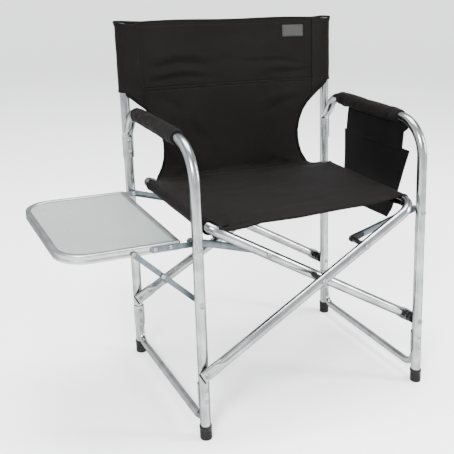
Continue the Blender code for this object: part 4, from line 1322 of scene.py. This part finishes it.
def label_patch():
    """Small plain sewn patch on the band."""
    low_x, high_x, low_z, high_z = 0.1450, 0.2020, 0.7530, 0.7810
    turns = (
        (high_x, low_z, -1, 1, -90),
        (high_x, high_z, -1, -1, 0),
        (low_x, high_z, 1, -1, 90),
        (low_x, low_z, 1, 1, 180),
    )
    rings = []
    for inset, lift in ((0.0, 0.0002), (0.0, 0.0012), (0.0006, 0.0017), (0.0040, 0.0018)):
        ring = []
        radius = max(0.0025 - inset, 0.0005)
        for x, z, to_x, to_z, start in turns:
            for step in range(5):
                angle = math.radians(start + 90 * step / 4)
                px = x + to_x * (inset + radius) + radius * math.cos(angle)
                pz = z + to_z * (inset + radius) + radius * math.sin(angle)
                ring.append(Vector((px, back_y(px, pz) - lift, pz)))
        rings.append(ring)
    patch = piece("plain_patch", loft(rings), PATCH, sharp=60)
    edge = 0.0022
    corners = [(low_x + edge, low_z + edge), (high_x - edge, low_z + edge), (high_x - edge, high_z - edge),
               (low_x + edge, high_z - edge), (low_x + edge, low_z + edge)]
    line = [((x, back_y(x, z) - 0.0019, z), -AXIS_Y) for x, z in corners]
    thread = stitches("plain_patch_thread", [line], length=0.0022, gap=0.0010, radius=0.0003)
    return patch, thread


SLEEVE_STEPS = 28
SEAM_INSETS = (0.0012, 0.0078)


def sleeve_row(sign, z, top):
    """Cloth of a post sleeve at one height: back seam, round the post, to the front seam."""
    centre = Vector((sign * HALF_WIDTH, rear_y(z), z))
    reach = 0.0126 + 0.0030 * smooth((z - 0.786) / 0.012) + 0.0012 * smooth((0.652 - z) / 0.010)
    row = []
    back = back_y(SEAM_X, z) + CLOTH_T * 1.6
    for share in (0.0, 0.33, 0.66):
        x = SEAM_X + (HALF_WIDTH - 0.004 - SEAM_X) * share
        y = back + (centre.y + reach - back) * share**1.2
        row.append(Vector((sign * x, y, z)))
    for step in range(13):
        angle = math.radians(90 - 180 * step / 12)
        wave = 0.0006 * noise.noise(Vector((angle * 2, z * 30, sign * 2)))
        out = reach + wave
        row.append(centre + Vector((sign * out * math.cos(angle), out * math.sin(angle), 0)))
    limit = back_width(z)
    for k in range(1, SLEEVE_STEPS + 1):
        share = k / SLEEVE_STEPS
        x = min(HALF_WIDTH + (SEAM_X - 0.0015 - HALF_WIDTH) * share, limit)
        dip = 0.0032 * math.sin(math.pi * share) * (1 + 0.3 * math.sin(z * 70))
        dip += 0.0011 * sum(hump(x - SEAM_X - inset, 0.0016) for inset in SEAM_INSETS)
        y = rear_y(z) - reach + (back_y(SEAM_X, z) - 0.0012 - rear_y(z) + reach) * share**1.5
        row.append(Vector((sign * x, y + dip, z)))
    for k, point in enumerate(row):
        front = max(0.0, (k - 9) / (SLEEVE_STEPS + 6))
        point.z -= 0.0070 * math.sin(math.pi * min(1.0, front)) * top
    return row


def build_sleeves():
    for side, sign in SIDES.items():
        heights = evenly(0.6030, BACK_TOP + 0.0012, 60)
        rows = [sleeve_row(sign, z, smooth((z - 0.765) / 0.033)) for z in heights]
        count = len(rows[0])

        def keep(row, column, heights=heights, count=count):
            z = heights[row]
            if column < 15:
                return z > BAND_LOW - 0.004
            outer = HALF_WIDTH + (SEAM_X - HALF_WIDTH) * (column - 15) / SLEEVE_STEPS
            return z > BAND_LOW - 0.004 or back_width(z) > outer - 0.004

        sleeve = cloth_sheet(f"{side}_post_sleeve", rows, keep, CLOTH)
        lines = []
        for x in (SEAM_X + inset for inset in SEAM_INSETS):
            span = evenly(0.640, BACK_TOP - 0.006, 40)
            lines.append([sleeve_point(rows, heights, sign, x, z) for z in span])
        thread = stitches(f"{side}_sleeve_thread", lines)
        edge = sleeve_edge(side, sign)
        for obj in (sleeve, thread, edge):
            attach(obj, f"frame_{side}")


def sleeve_point(rows, heights, sign, x, z):
    """Place just in front of a sleeve's front face."""
    index = min(range(len(heights)), key=lambda k: abs(heights[k] - z))
    front = rows[index][15:]
    point = min(front, key=lambda p: abs(abs(p.x) - x))
    return (Vector((sign * x, point.y - CLOTH_T / 2 - 0.0001, z)), -AXIS_Y)


def sleeve_edge(side, sign):
    """Bound edge from the sleeve's mouth down to the waist."""
    path = []
    for z in evenly(0.6020, 0.6410, 24):
        x = back_width(z)
        share = smooth((x - SEAM_X) / (HALF_WIDTH - SEAM_X))
        y = back_y(SEAM_X, z) * (1 - share) + (rear_y(z) - 0.0126) * share
        path.append(Vector((sign * (x - 0.0020), y, z)))
    return edging(f"{side}_sleeve_binding", path, AXIS_Y, oval_section(0.0018, 0.0040, 14), BINDING)


# Armrest sleeves and the hanging pocket.

def settle(obj, pinned, pressure, slack, reach, gravity=0.0):
    """Cloth simulation that puffs and creases a piece; reach caps how far a point may move."""
    start = [vert.co.copy() for vert in obj.data.vertices]
    group = obj.vertex_groups.new(name="pinned")
    for index, point in enumerate(start):
        group.add([index], pinned(point - ORIGIN), "REPLACE")
    cloth = obj.modifiers.new("settle", "CLOTH")
    settings = cloth.settings
    settings.quality = 6
    settings.mass = 0.15
    settings.tension_stiffness = 12
    settings.compression_stiffness = 12
    settings.bending_stiffness = 0.4
    settings.vertex_group_mass = "pinned"
    settings.shrink_min = -slack
    settings.use_pressure = pressure > 0
    settings.uniform_pressure_force = pressure
    settings.effector_weights.gravity = gravity
    scene = bpy.context.scene
    for number in range(1, 21):
        scene.frame_set(number)
    graph = bpy.context.evaluated_depsgraph_get()
    settled = [vert.co.copy() for vert in obj.evaluated_get(graph).data.vertices]
    obj.modifiers.remove(cloth)
    scene.frame_set(1)
    for vert, before, after in zip(obj.data.vertices, start, settled):
        moved = after - before
        if moved.length > reach:
            moved *= reach / moved.length
        vert.co = before + moved
    obj.vertex_groups.remove(group)


def subdivide(obj):
    obj.modifiers.new("smooth", "SUBSURF").levels = 1
    obj.modifiers["smooth"].render_levels = 1


def surface(obj):
    """Nearest-surface search over a piece, in chair-centred metres."""
    points = [vert.co - ORIGIN for vert in obj.data.vertices]
    return BVHTree.FromPolygons(points, [tuple(face.vertices) for face in obj.data.polygons])


def laid_on(tree, line, lift):
    """A seam line moved onto a settled surface."""
    out = []
    for point, normal in line:
        hit = tree.ray_cast(Vector(point) + normal * 0.02, -normal, 0.05)[0]
        out.append((Vector(point) if hit is None else hit + normal * lift, normal))
    return out


def arm_sleeve(side):
    """Padded sleeve round the armrest, gathered a little at its two ends."""
    x = SIDES[side] * HALF_WIDTH
    rings = []
    start, end = PAD_Y
    count = 64
    for k in range(count + 1):
        share = k / count
        y = start + (end - start) * share
        near = min(share, 1 - share) * (end - start)
        fill = 0.0140 + 0.0020 * smooth(near / 0.010)
        ring = []
        for j in range(36):
            turn = math.tau * j / 36
            soft = 0.0008 * noise.noise(Vector((math.cos(turn) * 1.3, y * 26, math.sin(turn) * 1.3 + x * 9)))
            fold = 0.0005 * math.sin(y * 210 + 2.0 * math.sin(turn + x * 5)) * hump(near, 0.030)
            seam = -0.0009 * hump((turn - 4.71), 0.10)
            droop = 0.0006 * max(0.0, -math.sin(turn))
            reach = fill + soft + fold + seam + droop
            ring.append(Vector((x + reach * math.cos(turn), y, ARM_Z + reach * math.sin(turn))))
        rings.append(ring)

    def drawn_in(ring, shift, size=0.90):
        return [Vector((x + (p.x - x) * size, p.y + shift, ARM_Z + (p.z - ARM_Z) * size)) for p in ring]

    shape = loft([drawn_in(rings[0], 0.0006), *rings, drawn_in(rings[-1], -0.0006)])
    sleeve = piece(f"{side}_arm_sleeve", shape, CLOTH, f"frame_{side}",
                   [f"{side}_arm_pad"], sharp=60)
    settle(sleeve, lambda p: 1.0 if min(p.y - start, end - p.y) < 0.008 else 0.0, 4.0, 0.04, 0.0016)
    subdivide(sleeve)
    lines = []
    for y in (start + 0.006, end - 0.006):
        line = []
        for j in range(33):
            turn = math.tau * j / 32
            out = Vector((math.cos(turn), 0, math.sin(turn)))
            line.append((Vector((x, y, ARM_Z)) + out * 0.0160, out))
        lines.append(laid_on(surface(sleeve), line, 0.0))
    thread = stitches(f"{side}_arm_thread", lines, length=0.0026)
    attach(thread, f"frame_{side}")


POCKET_X = (0.2712, 0.2945)
POCKET_LOW_Z = 0.3590
POCKET_MOUTH_Z = 0.534


def pocket_front(z):
    return interpolate([(0.358, -0.034), (0.385, -0.052), (0.534, -0.096)], z)


def pocket_rear(z):
    return interpolate([(0.358, 0.146), (0.534, 0.156)], z)


def hang_x(y, z):
    """Inner face of the hanging panel, with the soft dents of loose cloth."""
    free = smooth((0.592 - z) / 0.03)
    wave = 0.0022 * math.sin(y * 24 + z * 9) * smooth((0.56 - z) / 0.12)
    return POCKET_X[0] + free * (wave + 0.0012 * noise.noise(Vector((1.0, y * 18, z * 14))))


def build_pocket():
    rows = []
    top = 0.5955
    for z in evenly(0.5300, top, 24):
        front = interpolate([(0.530, -0.0735), (0.573, -0.0740), (0.583, -0.0880), (0.596, -0.0850)], z)
        rear = interpolate([(0.530, 0.1500), (0.596, 0.1470)], z)
        row = [Vector((hang_x(y, z), y, z)) for y in evenly(front, rear, 50)]
        rows.append(row)
    hanger = cloth_sheet("pocket_hanger", rows, lambda row, column: True, POCKET_CLOTH, 0.0016)
    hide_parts("side_pocket")
    pouch = pocket_pouch()
    lines = []
    for z in (0.5370, 0.5315):
        span = [-0.073 + 0.221 * k / 50 for k in range(51)]
        lines.append([((hang_x(y, z) - 0.0013, y, z), -AXIS_X) for y in span])
    thread = stitches("pocket_thread", lines, length=0.0032)
    edges = pocket_edges()
    for obj in (hanger, pouch, thread, edges):
        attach(obj, "pocket")


def pouch_pin(p):
    """1 where the pouch is sewn down: its mouth, both sides and the inner wall."""
    near = min(p.y - pocket_front(p.z), pocket_rear(p.z) - p.y)
    sewn = p.z > POCKET_MOUTH_Z - 0.004 or near < 0.004 or p.x < hang_x(p.y, p.z) + 0.0008
    return 1.0 if sewn else 0.0


def pocket_pouch():
    """Flat bag, open at the top: an outer wall that bulges and an inner wall that hangs."""
    count = 26
    levels = evenly(POCKET_LOW_Z, POCKET_MOUTH_Z, 34)
    rings = []
    for z in levels:
        low, high = pocket_front(z), pocket_rear(z)
        share = (z - levels[0]) / (levels[-1] - levels[0])
        belly = math.sin(math.pi * min(1.0, share * 0.85 + 0.10))
        ring = []
        for k in range(count + 1):
            u = k / count
            y = low + (high - low) * u
            edge = math.sin(math.pi * u) ** 0.45 if 0 < u < 1 else 0.0
            bulge = (0.0040 + 0.0150 * belly) * edge
            bulge += 0.0016 * noise.noise(Vector((y * 22, z * 20, 5.0))) * edge
            ring.append(Vector((hang_x(y, z) + 0.0015 + bulge, y, z)))
        for k in range(count, -1, -1):
            u = k / count
            y = low + (high - low) * u
            ring.append(Vector((hang_x(y, z), y, z)))
        rings.append(ring)
    bottom = [[Vector((0.6 * p.x + 0.4 * (hang_x(p.y, 0.358) + 0.001), p.y, 0.3582)) for p in rings[0]]]
    rings = bottom + rings
    points, faces, uvs = loft(rings, caps=False)
    count_ring = len(rings[0])
    faces.append(tuple(range(count_ring)))
    uvs.append([(p.y, p.x) for p in rings[0]])
    obj = piece("pocket_pouch", (points, faces, uvs), POCKET_CLOTH, sharp=50)
    settle(obj, pouch_pin, 0.6, 0.05, 0.0045, 0.4)
    thicken = obj.modifiers.new("thickness", "SOLIDIFY")
    thicken.thickness = 0.0011
    thicken.offset = -1.0
    return obj


def pocket_edges():
    """Bound sides of the pocket and its hemmed mouth."""
    sides = []
    for edge in (pocket_front, pocket_rear):
        path = []
        for z in evenly(POCKET_LOW_Z, POCKET_MOUTH_Z, 30):
            path.append(Vector((hang_x(edge(z), z) + 0.0010, edge(z), z)))
        sides.append(loft(sweep(path, AXIS_X, oval_section(0.0017, 0.0026))))
    path = []
    for k in range(31):
        y = -0.0740 - 0.0220 + 0.0220 * k / 30
        path.append(Vector((hang_x(y, POCKET_MOUTH_Z) + 0.0006, y, POCKET_MOUTH_Z)))
    sides.append(loft(sweep(path, AXIS_Z, round_section(0.0015, 10))))
    return piece("pocket_binding", joined(*sides), BINDING, sharp=80)


build_seat()
build_back_panel()
build_sleeves()
for side in SIDES:
    arm_sleeve(side)
build_pocket()


# ----------------------------------------------------------------------- floor and light

def make_floor():
    """Pale floor that rises far away into a round backdrop."""
    rings = []
    profile = [
        (0.001, 0.0), (1.0, 0.0), (3.5, 0.0), (5.0, 0.0), (5.8, 0.10),
        (6.5, 0.45), (6.9, 1.1), (7.0, 2.2), (7.0, 4.5),
    ]
    for radius, height in profile:
        rings.append([Vector((u, v, height)) for u, v in round_section(radius, 96)])
    mesh = bpy.data.meshes.new("floor")
    points, faces, _ = loft(rings, caps=False)
    mesh.from_pydata(points, [], faces)
    mesh.shade_smooth()
    material, tree, shader = new_material("pale_floor", Specular_IOR_Level=0.15)
    tint = noise_of(tree, scaled(tree, "Object", (1, 1, 1)), 1.2, 2.0)
    coloured(tree, shader, mapped(tree, tint, 0, 1), (0.955, 0.955, 0.955), (0.97, 0.97, 0.97))
    shader.inputs["Roughness"].default_value = 0.85
    mesh.materials.append(material)
    floor = bpy.data.objects.new("floor", mesh)
    bpy.context.scene.collection.objects.link(floor)


def area_light(name, place, target, size, power):
    data = bpy.data.lights.new(name, "AREA")
    data.shape = "RECTANGLE"
    data.size, data.size_y = size
    data.energy = power
    light = bpy.data.objects.new(name, data)
    light.location = place
    light.rotation_euler = (Vector(target) - Vector(place)).to_track_quat("-Z", "Y").to_euler()
    bpy.context.scene.collection.objects.link(light)


def make_light():
    world = bpy.data.worlds.new("studio")
    world.use_nodes = True
    world.node_tree.nodes["Background"].inputs["Color"].default_value = (0.93, 0.95, 1.0, 1)
    world.node_tree.nodes["Background"].inputs["Strength"].default_value = 1.25
    bpy.context.scene.world = world
    middle = (0, 0, 0.4)
    area_light("key", (-2.2, -2.4, 2.9), middle, (1.2, 1.2), 360)
    area_light("fill", (2.8, -1.6, 1.6), middle, (0.6, 1.8), 150)
    area_light("top", (0.2, 0.4, 3.4), middle, (2.4, 1.6), 230)


make_floor()
make_light()
